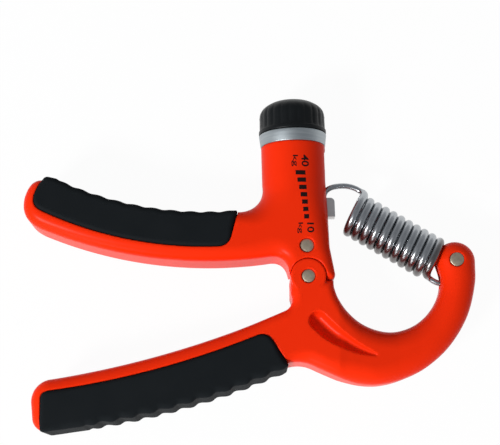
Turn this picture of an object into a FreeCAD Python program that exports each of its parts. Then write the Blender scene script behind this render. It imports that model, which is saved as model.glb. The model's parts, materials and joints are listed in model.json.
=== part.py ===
import FreeCAD, Part

import math
import os

# An adjustable hand grip strengthener, lying flat: +X runs from the handles' tips to the hook arm,
# +Y from the lower handle to the knob, +Z up off the table. Sizes are in millimetres.
# Every outline is drawn about the pivot, on the middle plane of the handles, and lifted at the end.

V = FreeCAD.Vector
UP = V(0, 0, 1)

# Place of the pivot from the middle of the whole outline
PIVOT_X = 20.2
PIVOT_Y = -5.5

# Handles
GRIP_PROUD = 1.0
SPINE_INSET = 3.0
BODY_ROUND = 2.8
TIP_BEND = 6.5
NECK_BEND = 5.0
WEB_INSET = 3.5
WEB_BULGE = (-17.7, 25.4)
GRIP_ROUND = 1.2
GRIP_CORNER = 2.6
SPINE_DEPTH = 5.0
UPPER_INWARD = V(0.15, -0.99, 0)
LOWER_INWARD = V(0.3, 0.95, 0)
UPPER_RIBS = 10
LOWER_RIBS = 11
UPPER_RIB_HEIGHT = 0.5
LOWER_RIB_HEIGHT = 0.9
RIBBED_PART = 7.0

# Pivot
EAR_RADIUS = 5.9
EAR_GAP = 0.3
EAR_ROUND = 0.5
TONGUE_THICK = 8.0
TONGUE_GAP = 0.15
SLOT_ROUND_GAP = 0.5
PIVOT_PIN_RADIUS = 2.2
PIN_SINK = 0.4
BEARING_PIN_SINK = 0.7
ARM_PIN_SINK = 0.2
PIN_GAP = 0.05
PIN_EDGE = 0.3
STOP_TOP = -1.2
STOP_GAP = 0.15
STOP_BEND = 0.5
STOP_FOOT_X = 8.2
STOP_NOSE = (9.1, 0.3)
STOP_BACK = (7.4, 10.0)
STOP_ROOT_X = 2.0

# Barrel, along its own axis from the height of the pivot
BARREL_RADIUS = 11.0
BARREL_TILT = 1.5
BARREL_SHIFT = -3.4
BARREL_TOP = 46.5
BARREL_ROUND_FROM = 30.0
NEARLY_ROUND = 0.25
NECK_CORNER = 4.0
BARREL_STATIONS = ((8.0, 4.6), (19.0, 7.6))
BARREL_WALL = 3.5
BORE_BOTTOM = 9.2

# Screw and what it carries
SCREW_RADIUS = 4.0
SCREW_GAP = 0.15
JOURNAL_RADIUS = 2.5
JOURNAL_LENGTH = 3.6
HEAD_FLATS = 12.0
HEAD_HEIGHT = 5.0
WASHER_RADIUS = 8.0
WASHER_THICK = 1.2
SEAT_GAP = 0.1
BEARING_LENGTH = 7.8
BEARING_GAP = 0.1
BEARING_PIN_RADIUS = 2.3
BEARING_PIN_SHIFT = 3.25
BEARING_PIN_HEIGHT = 10.2

# Slider
SLIDER_BOTTOM = 20.9
SLIDER_LENGTH = 9.0
SLIDER_GAP = 0.2
SLIDER_DOWN = 3.0
SLIDER_UP = 12.5
LUG_BOTTOM = 21.4
LUG_LENGTH = 6.6
LUG_PROUD = 2.5
LUG_WIDTH = 4.6
LUG_ROUND = 1.5
SLOT_GAP = 0.3

# Knob and collar ring
RING_HEIGHT = 4.1
RING_STEP = 0.1
RING_PROUD = 0.6
RING_SPIGOT = 2.6
RING_BEVEL = 1.6
KNOB_HEIGHT = 11.9
KNOB_RIM = 1.4
KNOB_CROWN = 6.2
KNOB_CROWN_RADIUS = 4.0
KNOB_TAPER = 0.3
KNOB_BULGE = (1.5, 0.75)
KNOB_LIFT = 0.2
FLUTES = 24
FLUTE_RADIUS = 0.9
FLUTE_DEPTH = 0.35

# Hook arm
ARM_PIN_X = 49.9
ARM_PIN_Y = 6.2
ARM_PIN_RADIUS = 2.3
ARM_TIP_RADIUS = 6.8
ARM_THICK = 14.4
ARM_FLAT = 1.2
SCOOP_CENTRE = (32.2, 13.9)
SCOOP_LIFT = 0.15
SCOOP_LAP = 0.06

# Spring
WIRE = 2.4
COIL_RADIUS = 6.7
COIL_PITCH = 3.09
COIL_TURNS = 9
COIL_X = 29.6
COIL_Y = 15.0
COIL_SLOPE = 30.6
COIL_LEAVES = 60.0
LOOP_RADIUS = 7.1
LOOP_DROP = 0.2
LOOP_START = -125
LOOP_END = 50
HOOK_INSET = 3.6
HOOK_CREST = ((12.0, 32.7), (1, 0.06))
HOOK_SHOULDER = ((17.0, 32.4), (0.97, -0.22))
HOOK_FOOT = 1.0
HOOK_BEND_DROP = 0.2
WIRE_GAP = 0.2
SPRING_SLOT_GAP = 0.4

# Outlines of the upper handle
UPPER_NECK = (-6.3, 1.6)
UPPER_INNER_ROOT = (-7.9, 7.7)
UPPER_INNER_MIDDLE = (-44.2, 5.8)
UPPER_INNER_TIP = (-97.6, 20.0)
UPPER_OUTER_TIP = (-93.0, 36.0)
UPPER_OUTER_MIDDLE = (-58.6, 22.9)
UPPER_OUTER_ROOT = (-23.4, 22.3)
UPPER_WEB_TOP = (-15.2, 32.0)

UPPER_GRIP_BACK = (-91.3, 28.7)
UPPER_GRIP_CORNER = (-92.4, 23.7)
UPPER_GRIP_MIDDLE = (-58.4, 12.2)
UPPER_GRIP_ROOT = (-26.6, 10.2)
UPPER_RIBS_START = (-23.4, 22.4)
UPPER_RIBS_MIDDLE = (-56.0, 23.5)
UPPER_RIBS_END = (-84.6, 32.8)
UPPER_GRIP_SHOULDER = (-88.2, 34.0)

# Outlines of the lower handle
LOWER_NECK = (-5.6, 0.0)
LOWER_SIDE = (-5.6, -5.9)
LOWER_BEND = (-6.9, -9.8)
LOWER_INNER_ROOT = (-10.5, -12.5)
LOWER_INNER_MIDDLE = (-42.4, -24.1)
LOWER_INNER_TIP = (-84.6, -33.9)
LOWER_TIP_BEND = (-89.3, -36.2)
LOWER_TIP = (-91.2, -41.5)
LOWER_TIP_END = (-90.7, -46.5)
LOWER_OUTER_BEND = (-89.6, -49.4)
LOWER_OUTER_TIP = (-86.8, -51.0)
LOWER_OUTER_MIDDLE = (-48.0, -43.8)
LOWER_OUTER_ROOT = (-9.4, -29.8)
LOWER_HUB_BEND = (-5.0, -28.4)
LOWER_HUB = (0.8, -29.2)
LOWER_STOP = (8.4, STOP_TOP)

LOWER_GRIP_CORNER = (-87.6, -38.4)
LOWER_GRIP_MIDDLE = (-53.6, -31.9)
LOWER_GRIP_ROOT = (-14.0, -18.6)
LOWER_RIBS_START = (-6.3, -30.0)
LOWER_RIBS_MIDDLE = (-41.0, -41.8)
LOWER_RIBS_END = (-74.2, -48.9)
LOWER_GRIP_HEEL = (-87.6, -51.5)

# Stations of the arm: inner point, outer point, how much slimmer than the hub it is, and corner
HUB_STATIONS = (
    ((7.0, -4.0), (-0.6, -28.2), 0.2, 3.4),
    ((10.0, -7.3), (5.9, -31.5), 0.1, 3.2),
    ((12.9, -11.3), (11.5, -33.8), 0.6, 4.0),
    ((17.2, -14.9), (17.6, -35.3), 1.4, 4.7),
    ((22.6, -17.2), (24.2, -35.3), 2.2, 5.2),
)
# Then inner point, outer point, and how much thicker than the tip it is
ARM_STATIONS = (
    ((28.6, -17.8), (31.4, -33.4), 0.8),
    ((35.0, -15.8), (39.5, -29.4), 0.3),
    ((40.2, -11.6), (47.4, -22.3), 0.0),
    ((43.7, -5.9), (53.5, -12.4), 0.0),
    ((44.7, 0.2), (56.4, -1.6), 0.0),
)

# The largest corner of a bar, as a share of its half width or half thickness
ROUND_SHARE = 0.96

# How far cuts run past what they cut, and how far pieces of one body lap
OVERCUT = 1.0
FAR = 60.0
LAP = 3.0

# Worked out from the sizes
BODY_HALF = BARREL_RADIUS
GRIP_HALF = BODY_HALF + GRIP_PROUD
SPINE_HALF = BODY_HALF - SPINE_INSET
BORE_RADIUS = BARREL_RADIUS - BARREL_WALL
LUG_REACH = BARREL_RADIUS + LUG_PROUD
HOOK_REACH = LUG_REACH - HOOK_INSET
RING_FOOT = BARREL_RADIUS - RING_STEP
RING_RADIUS = BARREL_RADIUS + RING_PROUD
KNOB_RADIUS = RING_RADIUS
ARM_CORNER = ARM_TIP_RADIUS - ARM_FLAT
TILT = math.radians(BARREL_TILT)
SLOPE = math.radians(COIL_SLOPE)
COIL_AXIS = V(math.cos(SLOPE), -math.sin(SLOPE), 0)
COIL_OUT = V(math.sin(SLOPE), math.cos(SLOPE), 0)
PIN_HALF = BODY_HALF - PIN_SINK
LOOP_X = ARM_PIN_X + ARM_PIN_RADIUS + WIRE / 2 - LOOP_RADIUS
LOOP_Y = ARM_PIN_Y - LOOP_DROP
RING_TOP = BARREL_TOP + RING_HEIGHT
JOURNAL_TOP = BORE_BOTTOM + BEARING_LENGTH
HEAD_BOTTOM = RING_TOP + WASHER_THICK + SEAT_GAP
LAST_ANGLE = COIL_TURNS * 360 + 180 - COIL_LEAVES

# The crescent's stations: place, height of the face there and radius of the cut
SCOOP_STATIONS = (
    ((3.0, -14.9), BODY_HALF, 2.8),
    ((6.5, -18.2), BODY_HALF, 2.6),
    ((10.5, -21.0), BODY_HALF - 0.4, 2.1),
    ((16.0, -23.9), BODY_HALF - 1.1, 1.4),
    ((22.0, -26.0), BODY_HALF - 1.9, 0.45),
)


def flat(point):
    return V(point[0], point[1], 0)


def outline(start, *steps):
    """A closed face: a step is a corner, or a pair of a point on the way and the end of an arc."""
    edges = []
    here = flat(start)
    for step in steps + (start,):
        is_arc = isinstance(step[0], tuple)
        end = flat(step[1] if is_arc else step)
        if is_arc:
            edges.append(Part.Arc(here, flat(step[0]), end).toShape())
        elif here.distanceToPoint(end) > 1e-6:
            edges.append(Part.makeLine(here, end))
        here = end
    return Part.Face(Part.Wire(edges))


def prism(face, half):
    lowered = face.copy()
    lowered.translate(V(0, 0, -half))
    return lowered.extrude(V(0, 0, 2 * half))


def rounded(shape, half, radius, keep=lambda middle: True):
    """Rounds the edges of both flat faces, where keep allows."""
    edges = []
    for edge in shape.Edges:
        box = edge.BoundBox
        on_face = abs(abs(box.ZMin) - half) < 1e-6 and box.ZLength < 1e-6
        if on_face and keep(edge.CenterOfMass):
            edges.append(edge)
    return shape.makeFillet(radius, edges)


def softened(shape, corners, radius):
    """Rounds the upright edges that stand at the given corners."""
    edges = []
    for edge in shape.Edges:
        middle = edge.CenterOfMass
        upright = edge.BoundBox.ZLength > 1
        if upright and any(flat(c).distanceToPoint(V(middle.x, middle.y, 0)) < 1e-6 for c in corners):
            edges.append(edge)
    return shape.makeFillet(radius, edges)


def post(x, y, radius, low, high):
    return Part.makeCylinder(radius, high - low, V(x, y, low), UP)


def pin(x, y, radius, half):
    body = post(x, y, radius, -half, half)
    return body.makeChamfer(PIN_EDGE, [e for e in body.Edges if isinstance(e.Curve, Part.Circle)])


def along_barrel(shape):
    """Places a shape drawn with the barrel's axis as +Y."""
    placed = shape.copy()
    placed.rotate(V(0, 0, 0), UP, BARREL_TILT)
    placed.translate(V(BARREL_SHIFT, 0, 0))
    return placed


def barrel_round(radius, low, high):
    return Part.makeCylinder(radius, high - low, V(0, low, 0), V(0, 1, 0))


def barrel_point(x, height):
    """A point beside the barrel's axis, in the frame of the pivot."""
    cos, sin = math.cos(TILT), math.sin(TILT)
    return V(BARREL_SHIFT + x * cos - height * sin, x * sin + height * cos, 0)


def rounded_section(centre, across, half_wide, half_thick, corner):
    """A wire round a bar: across points over its width, and the thickness runs along Z."""
    corner = min(corner, ROUND_SHARE * half_wide, ROUND_SHARE * half_thick)
    wide = half_wide - corner
    thick = half_thick - corner
    diagonal = corner * math.sqrt(0.5)

    def at(u, w):
        return centre + across * u + UP * w

    edges = []
    for su, sw in ((1, 1), (-1, 1), (-1, -1), (1, -1)):
        side = at(su * half_wide, sw * thick)
        face = at(su * wide, sw * half_thick)
        middle = at(su * (wide + diagonal), sw * (thick + diagonal))
        first, last = (side, face) if su * sw > 0 else (face, side)
        if edges:
            edges.append(Part.makeLine(edges[-1].Vertexes[-1].Point, first))
        edges.append(Part.Arc(first, middle, last).toShape())
    edges.append(Part.makeLine(edges[-1].Vertexes[-1].Point, edges[0].Vertexes[0].Point))
    return Part.Wire(edges)


def arc_points(start, middle, end, count):
    edge = Part.Arc(flat(start), flat(middle), flat(end)).toShape()
    return edge.discretize(Number=count + 1), edge.Curve.Center


def ribs(start, middle, end, count, height):
    """Steps of an outline: shallow ribs along an arc, each with its crest near its far end."""
    points, centre = arc_points(start, middle, end, 2 * count)
    steps = []
    for i in range(count):
        crest, valley = points[2 * i + 1], points[2 * i + 2]
        bends_out = (crest - centre).normalize()
        if bends_out.y * middle[1] < 0:
            bends_out = -bends_out
        top = crest + bends_out * height
        steps.append(((top.x, top.y), (valley.x, valley.y)))
    return steps


def upper_grip_block(outer):
    """The upper grip's whole block, with the given steps as its outer side."""
    face = outline(
        UPPER_GRIP_SHOULDER,
        (UPPER_GRIP_BACK, UPPER_GRIP_CORNER),
        (UPPER_GRIP_MIDDLE, UPPER_GRIP_ROOT),
        UPPER_RIBS_START,
        *outer,
    )
    corners = (UPPER_GRIP_CORNER, UPPER_GRIP_ROOT)
    return softened(prism(face, GRIP_HALF), corners, GRIP_CORNER)


def lower_grip_block(outer):
    """The lower grip's whole block, with the given steps as its outer side."""
    face = outline(
        LOWER_GRIP_HEEL,
        LOWER_GRIP_CORNER,
        (LOWER_GRIP_MIDDLE, LOWER_GRIP_ROOT),
        LOWER_RIBS_START,
        *outer,
    )
    corners = (LOWER_GRIP_CORNER, LOWER_GRIP_ROOT)
    return softened(prism(face, GRIP_HALF), corners, GRIP_CORNER)


def beyond(point, amount):
    return (point[0], point[1] + amount)


def upper_pocket():
    """The space that the upper grip fills, out to the crests of its ribs."""
    height = UPPER_RIB_HEIGHT
    return upper_grip_block([(beyond(UPPER_RIBS_MIDDLE, height), beyond(UPPER_RIBS_END, height))])


def lower_pocket():
    """The space that the lower grip fills, out to the crests of its ribs."""
    height = -LOWER_RIB_HEIGHT
    return lower_grip_block([(beyond(LOWER_RIBS_MIDDLE, height), beyond(LOWER_RIBS_END, height))])


def ribbed_grip(pocket, start, middle, end, count, height, outward):
    """The grip's whole block with rounded edges, cut down to its ribs."""

    def is_plain(place):
        level = V(place.x, place.y, 0)
        return all(level.distanceToPoint(flat(mark)) > RIBBED_PART for mark in (middle, end))

    whole = rounded(pocket, GRIP_HALF, GRIP_ROUND, is_plain)
    past = outward * FAR
    air = outline(beyond(start, past), start, *ribs(start, middle, end, count, height), beyond(end, past))
    return whole.cut(prism(air, GRIP_HALF + OVERCUT))


def spine(block, plate, inward):
    """The core that the grip wraps: the plate under the grip, thinner and drawn in from the outer edge."""
    drawn_in = plate.copy()
    drawn_in.translate(inward * SPINE_DEPTH)
    slab = Part.makeBox(4 * FAR, 4 * FAR, 2 * SPINE_HALF, V(-2 * FAR, -2 * FAR, -SPINE_HALF))
    return plate.common(block).common(drawn_in).common(slab)


def upper_plate():
    face = outline(
        UPPER_NECK,
        UPPER_INNER_ROOT,
        (UPPER_INNER_MIDDLE, UPPER_INNER_TIP),
        UPPER_OUTER_TIP,
        (UPPER_OUTER_MIDDLE, UPPER_OUTER_ROOT),
        (BARREL_SHIFT, UPPER_OUTER_ROOT[1]),
        (BARREL_SHIFT, UPPER_NECK[1]),
    )
    plate = softened(prism(face, BODY_HALF), [UPPER_INNER_ROOT], NECK_BEND)
    return softened(plate, (UPPER_INNER_TIP, UPPER_OUTER_TIP), TIP_BEND)


def upper_web():
    """The soft corner between the handle and the barrel."""
    left, bottom = UPPER_OUTER_ROOT
    face = outline(
        (left, bottom - LAP),
        (left, bottom),
        (WEB_BULGE, UPPER_WEB_TOP),
        (BARREL_SHIFT - LAP, UPPER_WEB_TOP[1]),
        (BARREL_SHIFT - LAP, bottom - LAP),
    )
    return prism(face, BODY_HALF - WEB_INSET)


def barrel_body():
    """Round at the top, and squarer towards the neck, where it meets the flat ears."""
    neck = (STOP_TOP + STOP_GAP, NECK_CORNER)
    round_end = (BARREL_ROUND_FROM, BARREL_RADIUS - NEARLY_ROUND)
    sections = []
    for height, corner in (neck, *BARREL_STATIONS, round_end):
        section = rounded_section(V(0, height, 0), V(1, 0, 0), BARREL_RADIUS, BARREL_RADIUS, corner)
        sections.append(section)
    lower = Part.makeLoft(sections, True)
    beside_neck = Part.makeBox(FAR, FAR, FAR, V(-FAR, UPPER_INNER_ROOT[1] + OVERCUT - FAR, -FAR / 2))
    upper = barrel_round(BARREL_RADIUS, BARREL_ROUND_FROM, BARREL_TOP)
    return along_barrel(lower.cut(beside_neck).fuse(upper))


def stop_bump():
    """The nose beside the pivot that lands on the lower handle and stops the opening."""
    foot = (STOP_FOOT_X, STOP_TOP + STOP_GAP)
    face = outline((STOP_ROOT_X, foot[1]), foot, STOP_NOSE, STOP_BACK, (STOP_ROOT_X, STOP_BACK[1]))
    bump = softened(prism(face, BODY_HALF), (foot, STOP_NOSE), STOP_BEND)
    return rounded(bump, BODY_HALF, BODY_ROUND, lambda middle: middle.x > STOP_BACK[0])


def ear_clearance():
    """What the upper body leaves free round both ears and below them."""
    low = TONGUE_THICK / 2 - TONGUE_GAP
    radius = EAR_RADIUS + EAR_GAP
    cuts = []
    for side in (-1, 1):
        near, far = sorted((side * low, side * (low + FAR)))
        cuts.append(post(0, 0, radius, near, far))
        cuts.append(Part.makeBox(2 * radius, FAR, FAR, V(-radius, -FAR, near)))
    return cuts


def tongue():
    half = TONGUE_THICK / 2 - TONGUE_GAP
    root = Part.makeBox(2 * EAR_RADIUS, EAR_RADIUS + LAP, 2 * half, V(-EAR_RADIUS, 0, -half))
    return post(0, 0, EAR_RADIUS, -half, half).fuse(root)


def barrel_slot():
    bottom = LUG_BOTTOM - SLIDER_DOWN - SLOT_GAP
    top = LUG_BOTTOM + LUG_LENGTH + SLIDER_UP + WIRE + OVERCUT
    half = LUG_WIDTH / 2 + SLOT_GAP
    return Part.makeBox(BARREL_RADIUS + OVERCUT, top - bottom, 2 * half, V(0, bottom, -half))


def pin_hole(x, y, radius):
    return post(x, y, radius + PIN_GAP, -FAR, FAR)


def bearing_pin_place():
    place = barrel_point(BEARING_PIN_SHIFT, BEARING_PIN_HEIGHT)
    return place.x, place.y


def bearing_pin_hole():
    return pin_hole(*bearing_pin_place(), BEARING_PIN_RADIUS)


def make_upper_handle():

    def is_free(middle):
        return middle.x < BARREL_SHIFT - OVERCUT and middle.y > UPPER_NECK[1]

    block = upper_pocket()
    plate = upper_plate()
    core = spine(block, plate, UPPER_INWARD)
    shell = rounded(plate, BODY_HALF, BODY_ROUND, is_free).cut(block)
    body = shell.fuse([core, upper_web().cut(block), barrel_body(), stop_bump()])
    below = Part.makeBox(FAR, FAR, FAR, V(UPPER_NECK[0], STOP_TOP + STOP_GAP - FAR, -FAR / 2))
    body = body.cut(below).cut(ear_clearance()).fuse(tongue())
    bore = barrel_round(BORE_RADIUS, BORE_BOTTOM, BARREL_TOP + OVERCUT)
    body = body.cut([along_barrel(bore), along_barrel(barrel_slot())])
    return body.cut([pin_hole(0, 0, PIVOT_PIN_RADIUS), bearing_pin_hole()]).removeSplitter()


def make_upper_grip():
    core = spine(upper_pocket(), upper_plate(), UPPER_INWARD)
    marks = (UPPER_RIBS_START, UPPER_RIBS_MIDDLE, UPPER_RIBS_END)
    return ribbed_grip(upper_pocket(), *marks, UPPER_RIBS, UPPER_RIB_HEIGHT, 1).cut(core)


def lower_plate():
    face = outline(
        LOWER_NECK,
        LOWER_SIDE,
        (LOWER_BEND, LOWER_INNER_ROOT),
        (LOWER_INNER_MIDDLE, LOWER_INNER_TIP),
        (LOWER_TIP_BEND, LOWER_TIP),
        LOWER_TIP_END,
        (LOWER_OUTER_BEND, LOWER_OUTER_TIP),
        (LOWER_OUTER_MIDDLE, LOWER_OUTER_ROOT),
        (LOWER_HUB_BEND, LOWER_HUB),
        LOWER_STOP,
        (0.0, STOP_TOP),
        (0.0, 0.0),
    )
    return prism(face, BODY_HALF)


def arm_sections():
    """The arm's stations from hub to tip: inner point, outer point, half thickness and corner."""
    tip_half = ARM_THICK / 2
    sections = []
    for inner, outer, slimmer, corner in HUB_STATIONS:
        sections.append((inner, outer, BODY_HALF - slimmer, corner))
    for inner, outer, thicker in ARM_STATIONS:
        sections.append((inner, outer, tip_half + thicker, ARM_CORNER))
    tip_inner = (ARM_PIN_X - ARM_TIP_RADIUS, ARM_PIN_Y)
    tip_outer = (ARM_PIN_X + ARM_TIP_RADIUS, ARM_PIN_Y)
    sections.append((tip_inner, tip_outer, tip_half, ARM_CORNER))
    return sections


def arm():
    sections = []
    for inner, outer, half, corner in arm_sections():
        across = flat(outer) - flat(inner)
        centre = (flat(outer) + flat(inner)) * 0.5
        half_wide = across.Length / 2
        sections.append(rounded_section(centre, across.normalize(), half_wide, half, corner))
    bend = Part.makeLoft(sections, True)
    tip = post(ARM_PIN_X, ARM_PIN_Y, ARM_TIP_RADIUS, -ARM_THICK / 2, ARM_THICK / 2)
    tip = rounded(tip, ARM_THICK / 2, ARM_CORNER)
    past_bend = Part.makeBox(FAR, FAR, FAR, V(ARM_PIN_X - FAR / 2, ARM_PIN_Y, -FAR / 2))
    return bend.fuse(tip.common(past_bend))


def spring_slot():
    """The slit in the arm's tip that the spring's loop lies in."""
    half = WIRE / 2 + SPRING_SLOT_GAP
    reach = LOOP_RADIUS + WIRE / 2 + SPRING_SLOT_GAP
    round_end = post(LOOP_X, LOOP_Y, reach, -half, half)
    mouth = Part.makeBox(2 * reach, 2 * reach, 2 * half, V(LOOP_X - 2 * reach, LOOP_Y - reach, -half))
    return round_end.fuse(mouth)


def scoop(side):
    """A crescent pressed into the hub's face, which narrows to a point along the arm."""
    rings = []
    for (x, y), surface, radius in SCOOP_STATIONS:
        height = side * (surface + radius * SCOOP_LIFT)
        slant = flat((x, y)) - flat(SCOOP_CENTRE)
        heading = slant.cross(UP).normalize()
        rings.append(Part.Wire(Part.Circle(V(x, y, height), heading, radius).toShape()))
    (x, y), surface, radius = SCOOP_STATIONS[0]
    end = Part.makeSphere(radius + SCOOP_LAP, V(x, y, side * (surface + radius * SCOOP_LIFT)))
    return Part.makeLoft(rings, True).fuse(end)


def make_lower_handle():

    def is_free(middle):
        beside_arm = middle.x > LOWER_HUB_BEND[0] + LAP and middle.y > LOWER_HUB[1] + LAP
        return middle.x < LOWER_STOP[0] / 2 and middle.y < STOP_TOP and not beside_arm

    block = lower_pocket()
    plate = lower_plate()
    core = spine(block, plate, LOWER_INWARD)
    body = rounded(plate, BODY_HALF, BODY_ROUND, is_free).cut(block)
    ears = rounded(post(0, 0, EAR_RADIUS, -BODY_HALF, BODY_HALF), BODY_HALF, EAR_ROUND)
    body = body.fuse([core, arm(), ears])
    half = TONGUE_THICK / 2
    body = body.cut(post(0, 0, EAR_RADIUS + SLOT_ROUND_GAP, -half, half))
    body = body.cut([spring_slot(), scoop(1), scoop(-1)])
    arm_pin_hole = pin_hole(ARM_PIN_X, ARM_PIN_Y, ARM_PIN_RADIUS)
    return body.cut([pin_hole(0, 0, PIVOT_PIN_RADIUS), arm_pin_hole]).removeSplitter()


def make_lower_grip():
    core = spine(lower_pocket(), lower_plate(), LOWER_INWARD)
    marks = (LOWER_RIBS_START, LOWER_RIBS_MIDDLE, LOWER_RIBS_END)
    return ribbed_grip(lower_pocket(), *marks, LOWER_RIBS, LOWER_RIB_HEIGHT, -1).cut(core)


def make_pivot_pin():
    return pin(0, 0, PIVOT_PIN_RADIUS, PIN_HALF)


def make_bearing_pin():
    x, y = bearing_pin_place()
    return pin(x, y, BEARING_PIN_RADIUS, BODY_HALF - BEARING_PIN_SINK)


def make_arm_pin():
    return pin(ARM_PIN_X, ARM_PIN_Y, ARM_PIN_RADIUS, ARM_THICK / 2 - ARM_PIN_SINK)


def make_end_bearing():
    plug = barrel_round(BORE_RADIUS - BEARING_GAP, BORE_BOTTOM, JOURNAL_TOP)
    seat_bottom = JOURNAL_TOP - JOURNAL_LENGTH - SEAT_GAP
    seat = barrel_round(JOURNAL_RADIUS + BEARING_GAP, seat_bottom, JOURNAL_TOP + OVERCUT)
    return along_barrel(plug.cut(seat)).cut(bearing_pin_hole())


def hexagon(flats, low, high):
    reach = flats / math.sqrt(3)
    corners = [V(reach * math.cos(a), low, reach * math.sin(a)) for a in (math.pi / 3 * i for i in range(6))]
    return Part.Face(Part.makePolygon(corners + corners[:1])).extrude(V(0, high - low, 0))


def make_screw():
    journal = barrel_round(JOURNAL_RADIUS, JOURNAL_TOP - JOURNAL_LENGTH, JOURNAL_TOP + SEAT_GAP)
    shank = barrel_round(SCREW_RADIUS, JOURNAL_TOP + SEAT_GAP, HEAD_BOTTOM)
    head = hexagon(HEAD_FLATS, HEAD_BOTTOM, HEAD_BOTTOM + HEAD_HEIGHT)
    return along_barrel(journal.fuse([shank, head]))


def make_slider():
    body = barrel_round(BORE_RADIUS - SLIDER_GAP, SLIDER_BOTTOM, SLIDER_BOTTOM + SLIDER_LENGTH)
    half = LUG_WIDTH / 2
    lug = Part.makeBox(LUG_REACH, LUG_LENGTH, LUG_WIDTH, V(0, LUG_BOTTOM, -half))
    top = LUG_BOTTOM + LUG_LENGTH
    corner = [e for e in lug.Edges if e.BoundBox.XMin > LUG_REACH - 0.1 and e.BoundBox.YMin > top - 0.1]
    lug = lug.makeFillet(LUG_ROUND, corner)
    slider_top = SLIDER_BOTTOM + SLIDER_LENGTH
    thread = barrel_round(SCREW_RADIUS + SCREW_GAP, SLIDER_BOTTOM - OVERCUT, slider_top + OVERCUT)
    eye = Part.makeCylinder(WIRE / 2 + WIRE_GAP, FAR, V(HOOK_REACH, LUG_BOTTOM - LAP, 0), V(0, 1, 0))
    return along_barrel(body.fuse(lug).cut([thread, eye]))


def turned(points):
    """A solid turned about the barrel's axis from radius and height pairs."""
    corners = [V(r, h, 0) for r, h in points]
    return Part.Face(Part.makePolygon(corners + corners[:1])).revolve(V(0, 0, 0), V(0, 1, 0), 360)


def make_collar_ring():
    hole = SCREW_RADIUS + SCREW_GAP
    spigot = BORE_RADIUS - BEARING_GAP
    ring = turned(
        (
            (hole, BARREL_TOP - RING_SPIGOT),
            (spigot, BARREL_TOP - RING_SPIGOT),
            (spigot, BARREL_TOP),
            (RING_FOOT, BARREL_TOP),
            (RING_RADIUS, BARREL_TOP + RING_BEVEL),
            (RING_RADIUS, RING_TOP),
            (hole, RING_TOP),
        )
    )
    return along_barrel(ring)


def make_thrust_washer():
    hole = SCREW_RADIUS + SCREW_GAP
    disc = barrel_round(WASHER_RADIUS, RING_TOP, RING_TOP + WASHER_THICK)
    return along_barrel(disc.cut(barrel_round(hole, RING_TOP - OVERCUT, RING_TOP + WASHER_THICK + OVERCUT)))


def make_knob():
    bottom = RING_TOP + KNOB_LIFT
    top = RING_TOP + KNOB_HEIGHT
    shoulder = top - KNOB_CROWN
    rim = bottom + KNOB_RIM
    inset = KNOB_RADIUS - KNOB_TAPER
    edges = [
        Part.makeLine(V(0, bottom, 0), V(KNOB_RADIUS, bottom, 0)),
        Part.makeLine(V(KNOB_RADIUS, bottom, 0), V(KNOB_RADIUS, rim, 0)),
        Part.makeLine(V(KNOB_RADIUS, rim, 0), V(inset, shoulder, 0)),
    ]
    bulge = V((inset + KNOB_CROWN_RADIUS) / 2 + KNOB_BULGE[0], (shoulder + top) / 2 + KNOB_BULGE[1], 0)
    edges.append(Part.Arc(V(inset, shoulder, 0), bulge, V(KNOB_CROWN_RADIUS, top, 0)).toShape())
    edges.append(Part.makeLine(V(KNOB_CROWN_RADIUS, top, 0), V(0, top, 0)))
    edges.append(Part.makeLine(V(0, top, 0), V(0, bottom, 0)))
    body = Part.Face(Part.Wire(edges)).revolve(V(0, 0, 0), V(0, 1, 0), 360)
    flutes = []
    for i in range(FLUTES):
        angle = 2 * math.pi * (i + 0.5) / FLUTES
        reach = KNOB_RADIUS + FLUTE_RADIUS - FLUTE_DEPTH
        place = V(reach * math.cos(angle), rim, reach * math.sin(angle))
        flutes.append(Part.makeCylinder(FLUTE_RADIUS, KNOB_HEIGHT, place, V(0, 1, 0)))
    recess = barrel_round(WASHER_RADIUS + SEAT_GAP, bottom - OVERCUT, HEAD_BOTTOM)
    socket = hexagon(HEAD_FLATS, HEAD_BOTTOM - SEAT_GAP, HEAD_BOTTOM + HEAD_HEIGHT)
    return along_barrel(body.cut(flutes + [recess, socket]))


# The spring's wire


def biarc(p0, t0, p1, t1):
    """Two arcs that leave p0 along t0 and reach p1 along t1."""
    v = p1 - p0
    t = t0 + t1
    bend = 2 * (1 - t0.dot(t1))
    reach = (-v.dot(t) + math.sqrt(v.dot(t) ** 2 + bend * v.dot(v))) / bend
    q0 = p0 + t0 * reach
    q1 = p1 - t1 * reach
    joint = (q0 + q1) * 0.5
    return [tangent_arc(p0, q0, joint), tangent_arc(joint, q1, p1)]


def tangent_arc(start, corner, end):
    middle = (start + end) * 0.5
    turn = (corner - start).getAngle(end - corner)
    share = math.tan(turn / 4) / math.tan(turn / 2)
    return Part.Arc(start, middle + (corner - middle) * share, end)


def coil_station(angle):
    """The wire's place and heading on the coil, at an angle in degrees from the first turn's top."""
    a = math.radians(angle)
    whole = COIL_TURNS * 360 + 180 - 2 * COIL_LEAVES
    along = (angle - COIL_LEAVES - whole / 2) / 360 * COIL_PITCH
    radial = COIL_OUT * math.cos(a) + UP * math.sin(a)
    climb = COIL_AXIS * (COIL_PITCH / 2 / math.pi)
    heading = (UP * math.cos(a) - COIL_OUT * math.sin(a)) * COIL_RADIUS + climb
    place = V(COIL_X, COIL_Y, 0) + COIL_AXIS * along + radial * COIL_RADIUS
    return place, heading.normalize()


def coil_stations():
    span = LAST_ANGLE - COIL_LEAVES
    count = round(span / 90)
    return [coil_station(COIL_LEAVES + span * i / count) for i in range(count + 1)]


def loop_station(angle):
    a = math.radians(angle)
    place = V(LOOP_X + LOOP_RADIUS * math.cos(a), LOOP_Y + LOOP_RADIUS * math.sin(a), 0)
    return place, V(-math.sin(a), math.cos(a), 0)


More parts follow.
